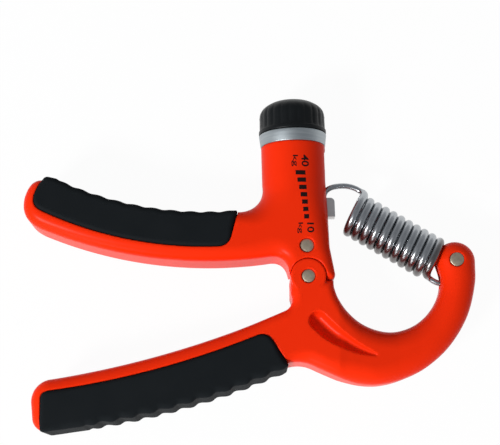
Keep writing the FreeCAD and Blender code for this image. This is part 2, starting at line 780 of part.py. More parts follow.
def hook_stations():
    foot = barrel_point(HOOK_REACH, LUG_BOTTOM + HOOK_FOOT)
    upward = (barrel_point(HOOK_REACH, 1) - barrel_point(HOOK_REACH, 0)).normalize()
    leg_top = barrel_point(HOOK_REACH, LUG_BOTTOM + LUG_LENGTH - HOOK_BEND_DROP)
    bends = [(flat(place), flat(heading).normalize()) for place, heading in (HOOK_CREST, HOOK_SHOULDER)]
    return [(foot, upward), (leg_top, upward)] + bends


def loop_stations():
    end, heading = loop_station(LOOP_END)
    angles = [LOOP_START + (LOOP_END - LOOP_START) * i / 3 for i in range(4)]
    return [loop_station(angle) for angle in angles] + [(end + heading * WIRE, heading)]


def wire_path(stations):
    pieces = []
    for (p0, t0), (p1, t1) in zip(stations, stations[1:]):
        straight = (p1 - p0).normalize()
        if straight.dot(t0) > 1 - 1e-9 and straight.dot(t1) > 1 - 1e-9:
            pieces.append(Part.LineSegment(p0, p1))
        else:
            pieces += biarc(p0, t0, p1, t1)
    return pieces


def wire_tube(pieces):
    path = Part.Wire([piece.toShape() for piece in pieces])
    start = pieces[0].toShape()
    heading = start.tangentAt(start.FirstParameter)
    ring = Part.Wire(Part.Circle(start.Vertexes[0].Point, heading, WIRE / 2).toShape())
    return path.makePipeShell([ring], True, False)


def hook_path():
    return wire_path(hook_stations() + coil_stations()[:1])


def coil_path():
    return wire_path(coil_stations())


def loop_path():
    return wire_path(coil_stations()[-1:] + loop_stations())


def least_wire_gap():
    """The least gap of the wire to itself, and the tightest bend, measured on points along it."""
    pieces = hook_path() + coil_path() + loop_path()
    points = []
    radii = []
    for piece in pieces:
        edge = piece.toShape()
        points += edge.discretize(Distance=0.5)[:-1]
        if isinstance(piece, Part.Arc):
            radii.append(edge.Curve.Radius)
    reach = [0.0]
    for a, b in zip(points, points[1:]):
        reach.append(reach[-1] + a.distanceToPoint(b))
    least = min(
        points[i].distanceToPoint(points[j])
        for i in range(len(points))
        for j in range(i + 1, len(points))
        if reach[j] - reach[i] > 4 * WIRE
    )
    return least - WIRE, min(radii)


NODES = {
    "lower_handle": make_lower_handle,
    "lower_grip": make_lower_grip,
    "upper_handle": make_upper_handle,
    "upper_grip": make_upper_grip,
    "pivot_pin": make_pivot_pin,
    "bearing_pin": make_bearing_pin,
    "arm_pin": make_arm_pin,
    "end_bearing": make_end_bearing,
    "adjusting_screw": make_screw,
    "slider": make_slider,
    "collar_ring": make_collar_ring,
    "thrust_washer": make_thrust_washer,
    "knob": make_knob,
    "spring_hook": lambda: wire_tube(hook_path()),
    "spring_coil": lambda: wire_tube(coil_path()),
    "spring_loop": lambda: wire_tube(loop_path()),
}


def main():
    os.makedirs("parts", exist_ok=True)
    whole = FreeCAD.BoundBox()
    for name, make in NODES.items():
        shape = make()
        shape.translate(V(PIVOT_X, PIVOT_Y, GRIP_HALF))
        shape.exportStep(f"parts/{name}.step")
        whole.add(shape.BoundBox)
        print(f"{name}: {len(shape.Solids)} solid, valid {shape.isValid()}, {shape.Volume:.0f} mm3")
    gap, bend = least_wire_gap()
    print(f"spring: least gap {gap:.2f} mm, tightest bend {bend:.2f} mm")
    print(f"box: {whole}")


main()
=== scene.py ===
import json
import math

import bpy
import bmesh
import numpy as np
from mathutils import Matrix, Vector
from mathutils.bvhtree import BVHTree


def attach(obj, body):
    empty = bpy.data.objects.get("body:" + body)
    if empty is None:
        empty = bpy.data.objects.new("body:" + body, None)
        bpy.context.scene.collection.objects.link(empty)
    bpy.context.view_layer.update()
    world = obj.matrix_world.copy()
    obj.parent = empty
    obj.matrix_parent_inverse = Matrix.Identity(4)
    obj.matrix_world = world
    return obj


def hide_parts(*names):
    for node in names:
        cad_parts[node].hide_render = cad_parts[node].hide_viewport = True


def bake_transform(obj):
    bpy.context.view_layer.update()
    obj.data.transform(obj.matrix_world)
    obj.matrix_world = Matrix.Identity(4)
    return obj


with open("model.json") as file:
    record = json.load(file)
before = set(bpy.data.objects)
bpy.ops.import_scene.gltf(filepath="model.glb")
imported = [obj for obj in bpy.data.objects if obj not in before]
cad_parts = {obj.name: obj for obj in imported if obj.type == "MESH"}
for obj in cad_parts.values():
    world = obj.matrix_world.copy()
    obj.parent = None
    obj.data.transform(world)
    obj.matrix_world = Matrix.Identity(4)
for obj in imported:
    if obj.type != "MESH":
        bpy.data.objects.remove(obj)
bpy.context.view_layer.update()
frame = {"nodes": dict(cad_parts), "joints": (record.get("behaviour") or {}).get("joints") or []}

# An adjustable hand grip strengthener, dressed over its CAD frame.
# Sizes are millimetres about the pivot, on the middle plane of the handles, as the frame was drawn,
# and a mesh is moved to metres in the row frame when it is made.

MM = 0.001
PIVOT = Vector(next(j["pos_m"] for j in frame["joints"] if j["name"] == "squeeze"))
ARM_PIN = (Vector(next(j["pos_m"] for j in frame["joints"] if j["name"] == "swing_squeeze")) - PIVOT) / MM
BARREL_UP = Vector(next(j["axis"] for j in frame["joints"] if j["name"] == "slider_travel")).normalized()
BARREL_FOOT = (Vector(next(j["pos_m"] for j in frame["joints"] if j["name"] == "knob_turn")) - PIVOT) / MM
BARREL_ACROSS = Vector((BARREL_UP.y, -BARREL_UP.x, 0))

# Handles: half thicknesses and how round the edges are
BODY_HALF = 11.0
UPPER_ROUND = 4.4
HUB_ROUND = 3.0
LOWER_ROUND_MORE = 1.4
HUB_FOOT_ROUND_MORE = 1.6

# Grips: the outer side is the ribbed one
GRIP_HALF = 12.0
GRIP_ROUND = 1.2
GRIP_OUTER_ROUND = 2.0
GRIP_OUTER_REACH = 9.0
# The share of that reach within which the outer side's rounding is full
GRIP_OUTER_FULL = 0.6
POCKET_GAP = 0.12
UPPER_RIBS = 10
UPPER_RIB_HEIGHT = 0.35
LOWER_RIBS = 11
LOWER_RIB_HEIGHT = 0.75
# The share of a rib's length by which it has risen, and from which it falls
UPPER_RIB_WAVE = (0.45, 0.55)
LOWER_RIB_WAVE = (0.36, 0.42)

# Pivot and pins
EAR_RADIUS = 5.9
EAR_ROUND = 0.5
EAR_GAP = 0.2
TONGUE_HALF = 4.0
TONGUE_LENGTH = 9.0
TONGUE_GAP = 0.15
TONGUE_ROOM = 0.5
NECK_BOTTOM = -1.05
PIVOT_PIN_RADIUS = 2.2
PIN_RADIUS = 2.3
PIN_DOME = 0.3
HOLE_GAP = 0.12
# How far each pin's ends lie under the faces
PIVOT_PIN_SINK = 0.25
BEARING_PIN_SINK = 0.5
ARM_PIN_SINK = 0.1

# Barrel
BARREL_RADIUS = 11.0
BARREL_TOP = 46.5
BARREL_PAST = 14.0
BORE_RADIUS = 7.5
BORE_BOTTOM = 9.2
SLOT_HALF = 2.6
SLOT_BOTTOM = 18.1
SLOT_TOP = 44.5
# By height on the barrel: how round the edges are, from the flat foot to the full round
BARREL_BEND_AT = (0.0, 8.0, 19.0, 29.0, 34.0)
BARREL_BEND = (3.2, 4.6, 7.8, 10.4, 10.97)
# Across the barrel's axis: where the handle's edges turn into the barrel's
BARREL_BLEND = (-21.0, -10.0)

# Ring and knob
RING_RADIUS = BARREL_RADIUS + 0.6
RING_TOP = BARREL_TOP + 4.1
RING_FOOT_STEP = 0.1
RING_ROUND = 0.25
# The ring widens from its foot to this far inside its edge and under its top
RING_TAPER = (0.12, 1.1)
KNOB_HEIGHT = 11.9
KNOB_GAP = 0.25
KNOB_SHOULDER = 5.6
KNOB_FOOT_ROUND = 0.3
KNOB_RIM = 1.6
KNOB_RIM_ROUND = 0.2
KNOB_RIM_ROUND_AT = 1.15
KNOB_TAPER = 0.1
KNOB_CROWN_STEP = 0.05
# The crown, as how far it steps in and up from the shoulder
KNOB_CROWN = ((0, 0), (0.3, 1.6), (1.2, 3.0), (2.6, 4.1), (4.6, 5.1), (7.0, 5.55))
KNOB_CROWN_TOP = 0.05
FLUTES = 24
FLUTE_DEPTH = 0.18
# Above the ring: where the flutes set in, and where they fade out
FLUTES_FROM = (1.6, 2.2)
FLUTES_TO = (7.0, 10.2)

# Arm, spring and its loop in the arm's tip
ARM_TIP_RADIUS = 6.8
WIRE = 2.4
COIL_WIRE = 2.94
END_WIRE = 1.9
COIL_RADIUS = 6.4
COIL_PITCH = 3.02
COIL_TURNS = 10
COIL_CENTRE = Vector((29.4, 15.1, 0))
COIL_SLOPE = math.radians(30.6)
COIL_LEAVES = 60.0
COIL_AXIS = Vector((math.cos(COIL_SLOPE), -math.sin(COIL_SLOPE), 0))
COIL_OUT = Vector((math.sin(COIL_SLOPE), math.cos(COIL_SLOPE), 0))
# How far from the coil's middle its stretch ends
COIL_REACH = 14
LOOP_RADIUS = 7.1
LOOP_DROP = 0.2
LOOP_CENTRE = Vector((ARM_PIN.x + PIN_RADIUS + WIRE / 2 - LOOP_RADIUS, ARM_PIN.y - LOOP_DROP, 0))
LOOP_FROM = -125
LOOP_TO = 50
LOOP_GAP = 0.4
# The wire thins to its ends: along the coil from its middle, and out from its round
THIN_ALONG = (15.8, 17.6)
THIN_OUT = (0.3, 3)

# The spring's hook, from the slider's eye to the coil: the eye lies this far behind the slider's nose
SLIDER_NOSE = 2.5
EYE_BEHIND_NOSE = 3.6
HOOK_ACROSS = BARREL_RADIUS + SLIDER_NOSE - EYE_BEHIND_NOSE
HOOK_FOOT = 22.4
HOOK_LEG = 5.4
HOOK_CREST = (Vector((12.2, 32.9, 0)), Vector((1, 0.03, 0)).normalized())
HOOK_SHOULDER = (Vector((17.7, 31.5, 0)), Vector((0.86, -0.5, 0)).normalized())

# Painted shade on the coil, from its middle: under its axis, on its last turn, and where it ends by the loop
PAINTED_SHADE_UNDER = (1.5, 7.5)
PAINTED_SHADE_LAST_TURN = (13.6, 14.8)
PAINTED_SHADE_ENDS = (16.2, 17.4)
PAINTED_SHADE_SHARE = 0.75

# How finely the moulded pieces are meshed, and the box that each is meshed in
CELL = 0.4
GRIP_CELL = 0.32
LOWER_BOX = ((-92, -52.5, -11), (57.5, 14, 11))
UPPER_BOX = ((-99, -7, -11), (12, 47, 11))
LOWER_GRIP_BOX = ((-89, -53.5, -12), (-5.5, -17, 12))
UPPER_GRIP_BOX = ((-93, 8, -12), (-21, 36.5, 12))

# Sides of the turned pieces
KNOB_SIDES = 240
RING_SIDES = 160
PIN_SIDES = 48

# Steps along the wire and on its turns, and sides of the wire
WIRE_STEP = 0.35
TURN_STEP = 9.0
TURN_STEPS = 180
LOOP_STEPS = 12
WIRE_SIDES = 20

# Print on the barrel: words, the box of across and height that they fill, and how bold they are
PRINT = (
    ("print_top_number", "40", ((2.35, 4.8), (41.3, 37.2)), 0.02),
    ("print_top_unit", "kg", ((-1.07, 1.19), (41.15, 37.2)), 0.008),
    ("print_low_number", "10", ((3.45, 5.75), (17.75, 14.4)), 0.02),
    ("print_low_unit", "kg", ((0.14, 2.1), (17.85, 14.2)), 0.008),
)
BARS = {"Count": 7, "Pitch": 2.53, "Long": 3.3, "Short": 1.65, "Tall": 1.5, "Drift": 0.68, "Curve": 1.6}
BARS_AT = (3.53, 35.1)
# A bar's corners along and down it, so that it can follow the barrel's round
BAR_CORNERS = (14, 8)
PRINT_LIFT = 0.03
PRINT_CELL = 0.35
# Print is dropped onto the barrel from this height
ABOVE_BODY = 20

# Floor, light and camera, in metres and watts
FLOOR_SIZE = 6.0
FLOOR_DROP = 0.0001
FLOOR_GREY = 0.9
FLOOR_WHITE = 0.96
LAMPS = (
    ("key", (-0.55, -0.5, 0.65), 0.2, 9.1),
    ("front", (-0.4, -0.85, 0.2), 0.3, 1.6),
)
SKY_LOW = (0.60, 0.61, 0.63)
SKY_HIGH = (0.30, 0.31, 0.33)
SKY_HIGH_FROM = 0.8
SKY_STRENGTH = 0.9
TARGET = PIVOT + Vector((-0.01942, 0.02013, 0))
CAMERA_UP = math.radians(78.5)
CAMERA_DISTANCE = 0.478
LENS = 100.8
SENSOR = 36.0


# Materials


# How deep their grain is, in metres, and how strongly it shows on metal
GRAIN_DEPTH = 0.0001
METAL_BUMP = 0.08


def new_material(name):
    material = bpy.data.materials.new(name)
    material.use_nodes = True
    tree = material.node_tree
    shader = tree.nodes["Principled BSDF"]
    return material, tree, shader


def add_noise(tree, scale, detail=3.0):
    place = tree.nodes.new("ShaderNodeTexCoord")
    noise = tree.nodes.new("ShaderNodeTexNoise")
    noise.inputs["Scale"].default_value = scale
    noise.inputs["Detail"].default_value = detail
    tree.links.new(place.outputs["Object"], noise.inputs["Vector"])
    return noise


def add_bump(tree, shader, height, strength, distance):
    bump = tree.nodes.new("ShaderNodeBump")
    bump.inputs["Strength"].default_value = strength
    bump.inputs["Distance"].default_value = distance
    tree.links.new(height, bump.inputs["Height"])
    tree.links.new(bump.outputs["Normal"], shader.inputs["Normal"])


def add_range(tree, value, low, high, between=(0, 1)):
    """A value that goes from low to high while another goes between two."""
    spread = tree.nodes.new("ShaderNodeMapRange")
    for name, number in zip(("From Min", "From Max", "To Min", "To Max"), (*between, low, high)):
        spread.inputs[name].default_value = number
    tree.links.new(value, spread.inputs["Value"])
    return spread.outputs["Result"]


def add_ramp(tree, value, low, high):
    ramp = tree.nodes.new("ShaderNodeValToRGB")
    ramp.color_ramp.elements[0].color = (*low, 1)
    ramp.color_ramp.elements[1].color = (*high, 1)
    tree.links.new(value, ramp.inputs["Fac"])
    return ramp.outputs["Color"]


def coloured(name, scale, dark, light, gloss):
    """A material whose colour varies a little in patches."""
    material, tree, shader = new_material(name)
    patches = add_noise(tree, scale)
    tree.links.new(add_ramp(tree, patches.outputs["Fac"], dark, light), shader.inputs["Base Color"])
    shader.inputs["Specular IOR Level"].default_value = gloss
    return material, tree, shader


def add_grain(tree, shader, grain, rough, bump):
    """Roughness and a fine bump that follow one grain."""
    tree.links.new(add_range(tree, grain, *rough), shader.inputs["Roughness"])
    add_bump(tree, shader, grain, bump, GRAIN_DEPTH)


def moulded_orange():
    """Glossy injection-moulded plastic: nearly even colour, a faint ripple and fine handling marks."""
    material, tree, shader = coloured(
        "moulded_orange", 60, (0.80, 0.0235, 0.0025), (0.86, 0.029, 0.0035), gloss=0.045
    )
    marks = add_noise(tree, 900, 5)
    tree.links.new(add_range(tree, marks.outputs["Fac"], 0.24, 0.36), shader.inputs["Roughness"])
    add_bump(tree, shader, add_noise(tree, 180).outputs["Fac"], 0.04, 0.0004)
    return material


def grained(name, patches, dark, light, gloss, grain, rough, bump):
    """Rubber or plastic with a fine grain, which is given as a noise's scale and detail."""
    material, tree, shader = coloured(name, patches, dark, light, gloss)
    add_grain(tree, shader, add_noise(tree, *grain).outputs["Fac"], rough, bump)
    return material


def turned_metal(name, dark, light, rough, stretch):
    """Metal with fine marks: noise whose scale along each axis is given by stretch."""
    material, tree, shader = new_material(name)
    shader.inputs["Metallic"].default_value = 1.0
    place = tree.nodes.new("ShaderNodeTexCoord")
    drawn = tree.nodes.new("ShaderNodeMapping")
    drawn.inputs["Scale"].default_value = stretch
    noise = tree.nodes.new("ShaderNodeTexNoise")
    noise.inputs["Scale"].default_value = 1.0
    noise.inputs["Detail"].default_value = 4.0
    tree.links.new(place.outputs["Object"], drawn.inputs["Vector"])
    tree.links.new(drawn.outputs["Vector"], noise.inputs["Vector"])
    tree.links.new(add_ramp(tree, noise.outputs["Fac"], dark, light), shader.inputs["Base Color"])
    add_grain(tree, shader, noise.outputs["Fac"], rough, METAL_BUMP)
    return material


def add_slope(tree, direction, between, low, high):
    """A value that goes from low to high between two distances from the coil's middle, along a direction."""
    place = tree.nodes.new("ShaderNodeTexCoord")
    along = tree.nodes.new("ShaderNodeVectorMath")
    along.operation = "DOT_PRODUCT"
    along.inputs[1].default_value = direction
    tree.links.new(place.outputs["Object"], along.inputs[0])
    middle = direction.dot(PIVOT + COIL_CENTRE * MM)
    return add_range(tree, along.outputs["Value"], low, high, [middle + b * MM for b in between])


def add_maths(tree, operation, a, b):
    node = tree.nodes.new("ShaderNodeMath")
    node.operation = operation
    tree.links.new(a, node.inputs[0])
    tree.links.new(b, node.inputs[1])
    return node.outputs[0]


def spring_steel():
    """Plated wire with painted shade: darker and browner under the coil and on its last turn."""
    material, tree, shader = new_material("spring_steel")
    shader.inputs["Metallic"].default_value = 1.0
    speckle = add_noise(tree, 1500, 4)
    unshaded_steel_colour = add_ramp(tree, speckle.outputs["Fac"], (0.36, 0.38, 0.40), (0.48, 0.50, 0.52))
    # A darker, browner copy of the steel's colour, used as painted shade
    shaded_steel_colour = add_ramp(tree, speckle.outputs["Fac"], (0.07, 0.055, 0.05), (0.16, 0.14, 0.13))
    # Painted shade under the coil's axis and on its last turn, fading out before the loop
    under = add_slope(tree, -COIL_OUT, PAINTED_SHADE_UNDER, 0, PAINTED_SHADE_SHARE)
    last_turn = add_slope(tree, COIL_AXIS, PAINTED_SHADE_LAST_TURN, 0, PAINTED_SHADE_SHARE)
    off_loop = add_slope(tree, COIL_AXIS, PAINTED_SHADE_ENDS, 1, 0)
    painted_shade = add_maths(tree, "MULTIPLY", add_maths(tree, "MAXIMUM", under, last_turn), off_loop)
    mix = tree.nodes.new("ShaderNodeMix")
    mix.data_type = "RGBA"
    share, first, second = (s for s in mix.inputs if s.enabled)
    mixed = next(s for s in mix.outputs if s.enabled)
    tree.links.new(painted_shade, share)
    tree.links.new(unshaded_steel_colour, first)
    tree.links.new(shaded_steel_colour, second)
    tree.links.new(mixed, shader.inputs["Base Color"])
    add_grain(tree, shader, speckle.outputs["Fac"], (0.22, 0.32), METAL_BUMP)
    return material


def print_ink():
    """Dark ink, a little worn."""
    material, tree, shader = coloured(
        "print_ink", 1500, (0.010, 0.005, 0.005), (0.020, 0.008, 0.007), gloss=0.1
    )
    shader.inputs["Roughness"].default_value = 0.4
    return material


ORANGE = moulded_orange()
# Soft over-moulded rubber, and hard plastic with a satin grain
RUBBER = grained(
    "grip_rubber", 80, (0.008, 0.0098, 0.0112), (0.0115, 0.0135, 0.015),
    gloss=0.015, grain=(2600, 2), rough=(0.5, 0.68), bump=0.25,
)
KNOB_BLACK = grained(
    "knob_plastic", 90, (0.005, 0.0062, 0.0072), (0.008, 0.0095, 0.0105),
    gloss=0.15, grain=(1800, 3), rough=(0.32, 0.46), bump=0.12,
)
INK = print_ink()
EVEN_MARKS = (900, 900, 900)
RING_MARKS = (120, 2500, 120)
BEARING_MARKS = (400, 6000, 400)

RING_METAL = turned_metal("ring_metal", (0.29, 0.33, 0.36), (0.53, 0.57, 0.58), (0.42, 0.54), RING_MARKS)
PIN_STEEL = turned_metal("pin_steel", (0.42, 0.35, 0.26), (0.58, 0.50, 0.39), (0.42, 0.55), EVEN_MARKS)
SLIDER_METAL = turned_metal("slider_metal", (0.62, 0.63, 0.62), (0.76, 0.77, 0.76), (0.4, 0.55), EVEN_MARKS)
BRASS = turned_metal("bearing_brass", (0.55, 0.38, 0.14), (0.68, 0.50, 0.22), (0.25, 0.4), BEARING_MARKS)
SPRING_STEEL = spring_steel()


# Pieces


def to_row(points):
    """Millimetres about the pivot to metres in the row frame."""
    return np.asarray(points, float) * MM + np.array(PIVOT)


def make_object(name, mesh, material, body, slot, *nodes):
    """A finished piece: it rides on its body, and stands for the CAD nodes that are named."""
    piece = bpy.data.objects.new(name, mesh)
    bpy.context.scene.collection.objects.link(piece)
    if material:
        mesh.materials.clear()
        mesh.materials.append(material)
    if body:
        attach(piece, body)
    if nodes:
        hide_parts(*nodes)
    return piece


# Outlines: a step is a corner, or a pair of a point on the way and the end of an arc


def arc_centre(a, b, c):
    sides = np.array([b - a, c - a]) * 2
    return np.linalg.solve(sides, np.array([b @ b - a @ a, c @ c - a @ a]))


def arc_through(start, middle, end, count):
    """Points on the arc from start over middle to end."""
    a, b, c = (np.array(p, float) for p in (start, middle, end))
    centre = arc_centre(a, b, c)
    first = math.atan2(*(a - centre)[::-1])
    way = math.atan2(*(b - centre)[::-1])
    last = math.atan2(*(c - centre)[::-1])
    turn = (last - first) % (2 * math.pi)
    if (way - first) % (2 * math.pi) > turn:
        turn -= 2 * math.pi
    radius = np.linalg.norm(a - centre)
    angles = first + turn * np.linspace(0, 1, count + 1)
    return centre + radius * np.stack([np.cos(angles), np.sin(angles)], 1)


def outline(start, *steps, count=40):
    """Points of a run that starts at a place and goes by its steps."""
    points = [np.array(start, float)[None]]
    for step in steps:
        here = tuple(points[-1][-1])
        if isinstance(step[0], tuple):
            points.append(arc_through(here, *step, count)[1:])
        else:
            points.append(np.array(step, float)[None])
    return np.concatenate(points)


def round_corners(points, corners, radius, count=12):
    """Replaces each given corner of a closed outline by a curve that starts and ends radius away from it."""
    closed = list(map(tuple, points))
    for corner in corners:
        ring = np.array(closed)
        at = int(np.argmin(np.linalg.norm(ring - corner, axis=1)))
        ring = np.roll(ring, -at, axis=0)
        distance = np.linalg.norm(ring - ring[0], axis=1)
        ahead = next(i for i in range(1, len(ring)) if distance[i] >= radius)
        behind = next(i for i in range(1, len(ring)) if distance[-i] >= radius)
        leave = ring[0] + (ring[-behind] - ring[0]) * radius / distance[-behind]
        enter = ring[0] + (ring[ahead] - ring[0]) * radius / distance[ahead]
        t = np.linspace(0, 1, count + 1)[:, None]
        curve = leave * (1 - t) ** 2 + ring[0] * 2 * t * (1 - t) + enter * t**2
        closed = list(map(tuple, curve)) + list(map(tuple, ring[ahead : len(ring) - behind + 1]))
    return np.array(closed)


def smooth_run(points, count=6):
    """Points along a smooth curve through the given ones."""
    p = np.array(points, float)
    p = np.concatenate([2 * p[:1] - p[1:2], p, 2 * p[-1:] - p[-2:-1]])
    run = []
    for i in range(1, len(p) - 2):
        for t in np.arange(count) / count:
            run.append(
                0.5
                * (
                    2 * p[i]
                    + (p[i + 1] - p[i - 1]) * t
                    + (2 * p[i - 1] - 5 * p[i] + 4 * p[i + 1] - p[i + 2]) * t**2
                    + (3 * p[i] - p[i - 1] - 3 * p[i + 1] + p[i + 2]) * t**3
                )
            )
    run.append(p[-2])
    return np.array(run)


def outline_distance(points, x, y):
    """Signed distance to a closed outline, negative inside."""
    px, py = x.ravel(), y.ravel()
    nearest = np.full(px.shape, 1e9)
    inside = np.zeros(px.shape, bool)
    for (ax, ay), (bx, by) in zip(points, np.roll(points, -1, axis=0)):
        dx, dy = bx - ax, by - ay
        length = dx * dx + dy * dy
        if length < 1e-12:
            continue
        t = np.clip(((px - ax) * dx + (py - ay) * dy) / length, 0, 1)
        nearest = np.minimum(nearest, (px - ax - t * dx) ** 2 + (py - ay - t * dy) ** 2)
        if ay != by:
            crosses = (ay > py) != (by > py)
            inside ^= crosses & (px < ax + (py - ay) * dx / dy)
    distance = np.sqrt(nearest)
    return np.where(inside, -distance, distance).reshape(x.shape)


# Moulded forms: distances, in millimetres, negative inside


def slab(edge, z, half, bend):
    """A plate with rounded edges: edge is the distance to its outline."""
    across = edge + bend
    up = np.abs(z) - half + bend
    outside = np.sqrt(np.maximum(across, 0) ** 2 + np.maximum(up, 0) ** 2)
    return outside + np.minimum(np.maximum(across, up), 0) - bend


def soft_min(a, b, blend):
    """The lesser of two distances, with the crease between them rounded."""
    h = np.clip(0.5 + 0.5 * (b - a) / blend, 0, 1)
    return b + (a - b) * h - blend * h * (1 - h)


def soft_cut(a, b, blend):
    """One form less another, with the edge between them rounded."""
    return -soft_min(-a, b, blend)


def step_between(value, low, high):
    """0 below low and 1 above high, with a smooth rise between."""
    t = np.clip((value - low) / (high - low), 0, 1)
    return t * t * (3 - 2 * t)


def grid(low, high, cell):
    """Places along each axis of a box, with two cells to spare."""
    axes = [np.arange(a - 2 * cell, b + 3 * cell, cell) for a, b in zip(low, high)]
    # The middle plane falls half way between two layers
    count = int(math.ceil((high[2] + 2 * cell) / cell))
    axes[2] = (np.arange(-count, count) + 0.5) * cell
    return axes


def skin(values):
    """The surface where values change sign: a corner in each crossed cell, a quad for each crossed edge."""
    inside = values < 0
    corners = [(i, j, k) for i in (0, 1) for j in (0, 1) for k in (0, 1)]
    shape = [n - 1 for n in values.shape]

    def shifted(array, c):
        return array[c[0] : c[0] + shape[0], c[1] : c[1] + shape[1], c[2] : c[2] + shape[2]]

    count = sum(shifted(inside, c).astype(np.int8) for c in corners)
    cells = np.argwhere((count > 0) & (count < 8))
    number = np.full(shape, -1, np.int64)
    number[tuple(cells.T)] = np.arange(len(cells))
    at = {c: values[tuple((cells + c).T)] for c in corners}
    total = np.zeros((len(cells), 3))
    hits = np.zeros(len(cells))
    for a in corners:
        for axis in range(3):
            if a[axis]:
                continue
            b = tuple(1 if i == axis else a[i] for i in range(3))
            crossed = (at[a] < 0) != (at[b] < 0)
            share = np.where(crossed, at[a] / np.where(crossed, at[a] - at[b], 1), 0)
            place = np.array(a, float) + share[:, None] * np.eye(3)[axis]
            total += place * crossed[:, None]
            hits += crossed
    places = cells + total / hits[:, None]
    quads = []
    for axis in range(3):
        u, v = [(1, 2), (2, 0), (0, 1)][axis]
        low = [slice(1, -1)] * 3
        low[axis] = slice(0, -1)
        high = list(low)
        high[axis] = slice(1, None)
        first, second = inside[tuple(low)], inside[tuple(high)]
        found = np.argwhere(first != second)
        starts = first[tuple(found.T)]
        found = found + 1
        found[:, axis] -= 1
        step_u, step_v = np.eye(3, dtype=int)[u], np.eye(3, dtype=int)[v]
        ring = [found - step_u - step_v, found - step_v, found, found - step_u]
        quad = np.stack([number[tuple(r.T)] for r in ring], 1)
        quads.append(np.where(starts[:, None], quad, quad[:, ::-1]))
    return places, np.concatenate(quads)


def sample(values, places):
    """Values at places between the grid's points."""
    base = np.clip(np.floor(places).astype(int), 0, np.array(values.shape) - 2)
    f = places - base
    result = 0
    for c in [(i, j, k) for i in (0, 1) for j in (0, 1) for k in (0, 1)]:
        weight = np.prod([f[:, i] if c[i] else 1 - f[:, i] for i in range(3)], axis=0)
        result = result + weight * values[tuple((base + c).T)]
    return result


# As a share of a cell
FURTHEST_MOVE = 0.4


def moulded(name, form, box, cell):
    """A closed mesh of a form, with its corners drawn onto it and its normals taken from it."""
    axes = grid(*box, cell)
    x, y = np.meshgrid(axes[0], axes[1], indexing="ij")
    values = form(x[:, :, None], y[:, :, None], axes[2][None, None, :])
    places, quads = skin(values)
    slopes = [g.astype(np.float32) for g in np.gradient(values)]
    for _ in range(2):
        slope = np.stack([sample(g, places) for g in slopes], 1)
        size = np.maximum((slope**2).sum(1), 1e-6)
        move = -slope * (sample(values, places) / size)[:, None]
        places = places + np.clip(move, -FURTHEST_MOVE, FURTHEST_MOVE)
    slope = np.stack([sample(g, places) for g in slopes], 1)
    normals = slope / np.maximum(np.linalg.norm(slope, axis=1), 1e-9)[:, None]
    corner = np.array([a[0] for a in axes])
    mesh = bpy.data.meshes.new(name)
    mesh.from_pydata(to_row(corner + places * cell).tolist(), [], quads.tolist())
    mesh.polygons.foreach_set("use_smooth", [True] * len(mesh.polygons))
    mesh.normals_split_custom_set_from_vertices(normals.tolist())
    mesh.validate()
    mesh.update()
    return mesh


# Ribbed grips


# Shares of the ribbed side by which the ribs are full, and from which they fade
RIBS_FULL = 0.04
RIBS_FADE = 0.97


def rib_wave(x, y, side, count, height, wave):
    """How far the outer side steps in from the ribs' crests, in millimetres, by the place along it."""
    a, b, c = arc_through(*side, 2)
    centre = arc_centre(a, b, c)
    first = math.atan2(*(a - centre)[::-1])
    last = math.atan2(*(c - centre)[::-1])
    turn = (last - first + math.pi) % (2 * math.pi) - math.pi
    angle = np.arctan2(y - centre[1], x - centre[0])
    along = ((angle - first + math.pi) % (2 * math.pi) - math.pi) / turn
    phase = np.mod(along * count, 1)
    rise = step_between(phase, 0.0, wave[0])
    fall = 1 - step_between(phase, wave[1], 1.0)
    fade = step_between(along, 0.0, RIBS_FULL) * (1 - step_between(along, RIBS_FADE, 1.0))
    return height * (1 - np.minimum(rise, fall)) * fade


def outer_side(x, y, side):
    """1 by the ribbed side and 0 by the others."""
    nearest = np.full(x.shape, 1e9)
    for px, py in arc_through(*side, 30):
        nearest = np.minimum(nearest, (x - px) ** 2 + (y - py) ** 2)
    return 1 - step_between(np.sqrt(nearest), GRIP_OUTER_REACH * GRIP_OUTER_FULL, GRIP_OUTER_REACH)


def grip_form(x, y, z, points, side, ribs, height, wave):
    outer = outer_side(x, y, side)
    edge = outline_distance(points, x, y) + outer * rib_wave(x, y, side, ribs, height, wave)
    return slab(edge, z, GRIP_HALF, GRIP_ROUND + (GRIP_OUTER_ROUND - GRIP_ROUND) * outer)


UPPER_GRIP_BACK = (-91.3, 28.7)
UPPER_GRIP_CORNER = (-92.4, 23.7)
UPPER_GRIP_MIDDLE = (-58.4, 12.2)
UPPER_GRIP_ROOT = (-26.6, 10.2)
UPPER_RIBS_START = (-23.4, 22.4)
UPPER_RIBS_MIDDLE = (-56.0, 23.5)
UPPER_RIBS_END = (-84.6, 32.8)
UPPER_GRIP_SHOULDER = (-88.2, 34.0)
UPPER_RIBBED_SIDE = (UPPER_RIBS_START, UPPER_RIBS_MIDDLE, UPPER_RIBS_END)
UPPER_GRIP_BEND = 3.4
UPPER_GRIP_SHARP_BEND = 1.2

LOWER_GRIP_CORNER = (-87.6, -38.4)
LOWER_GRIP_MIDDLE = (-53.6, -31.9)
LOWER_GRIP_ROOT = (-14.0, -18.6)
LOWER_RIBS_START = (-6.3, -30.0)
LOWER_RIBS_MIDDLE = (-41.0, -41.8)
LOWER_RIBS_END = (-74.2, -48.9)
LOWER_GRIP_HEEL = (-87.6, -51.5)
LOWER_RIBBED_SIDE = (LOWER_RIBS_START, LOWER_RIBS_MIDDLE, LOWER_RIBS_END)
LOWER_GRIP_CORNER_BEND = 2.2
LOWER_GRIP_ROOT_BEND = 3.6
LOWER_GRIP_SHARP_BEND = 1.4


def raised(point, amount):
    return (point[0], point[1] + amount)


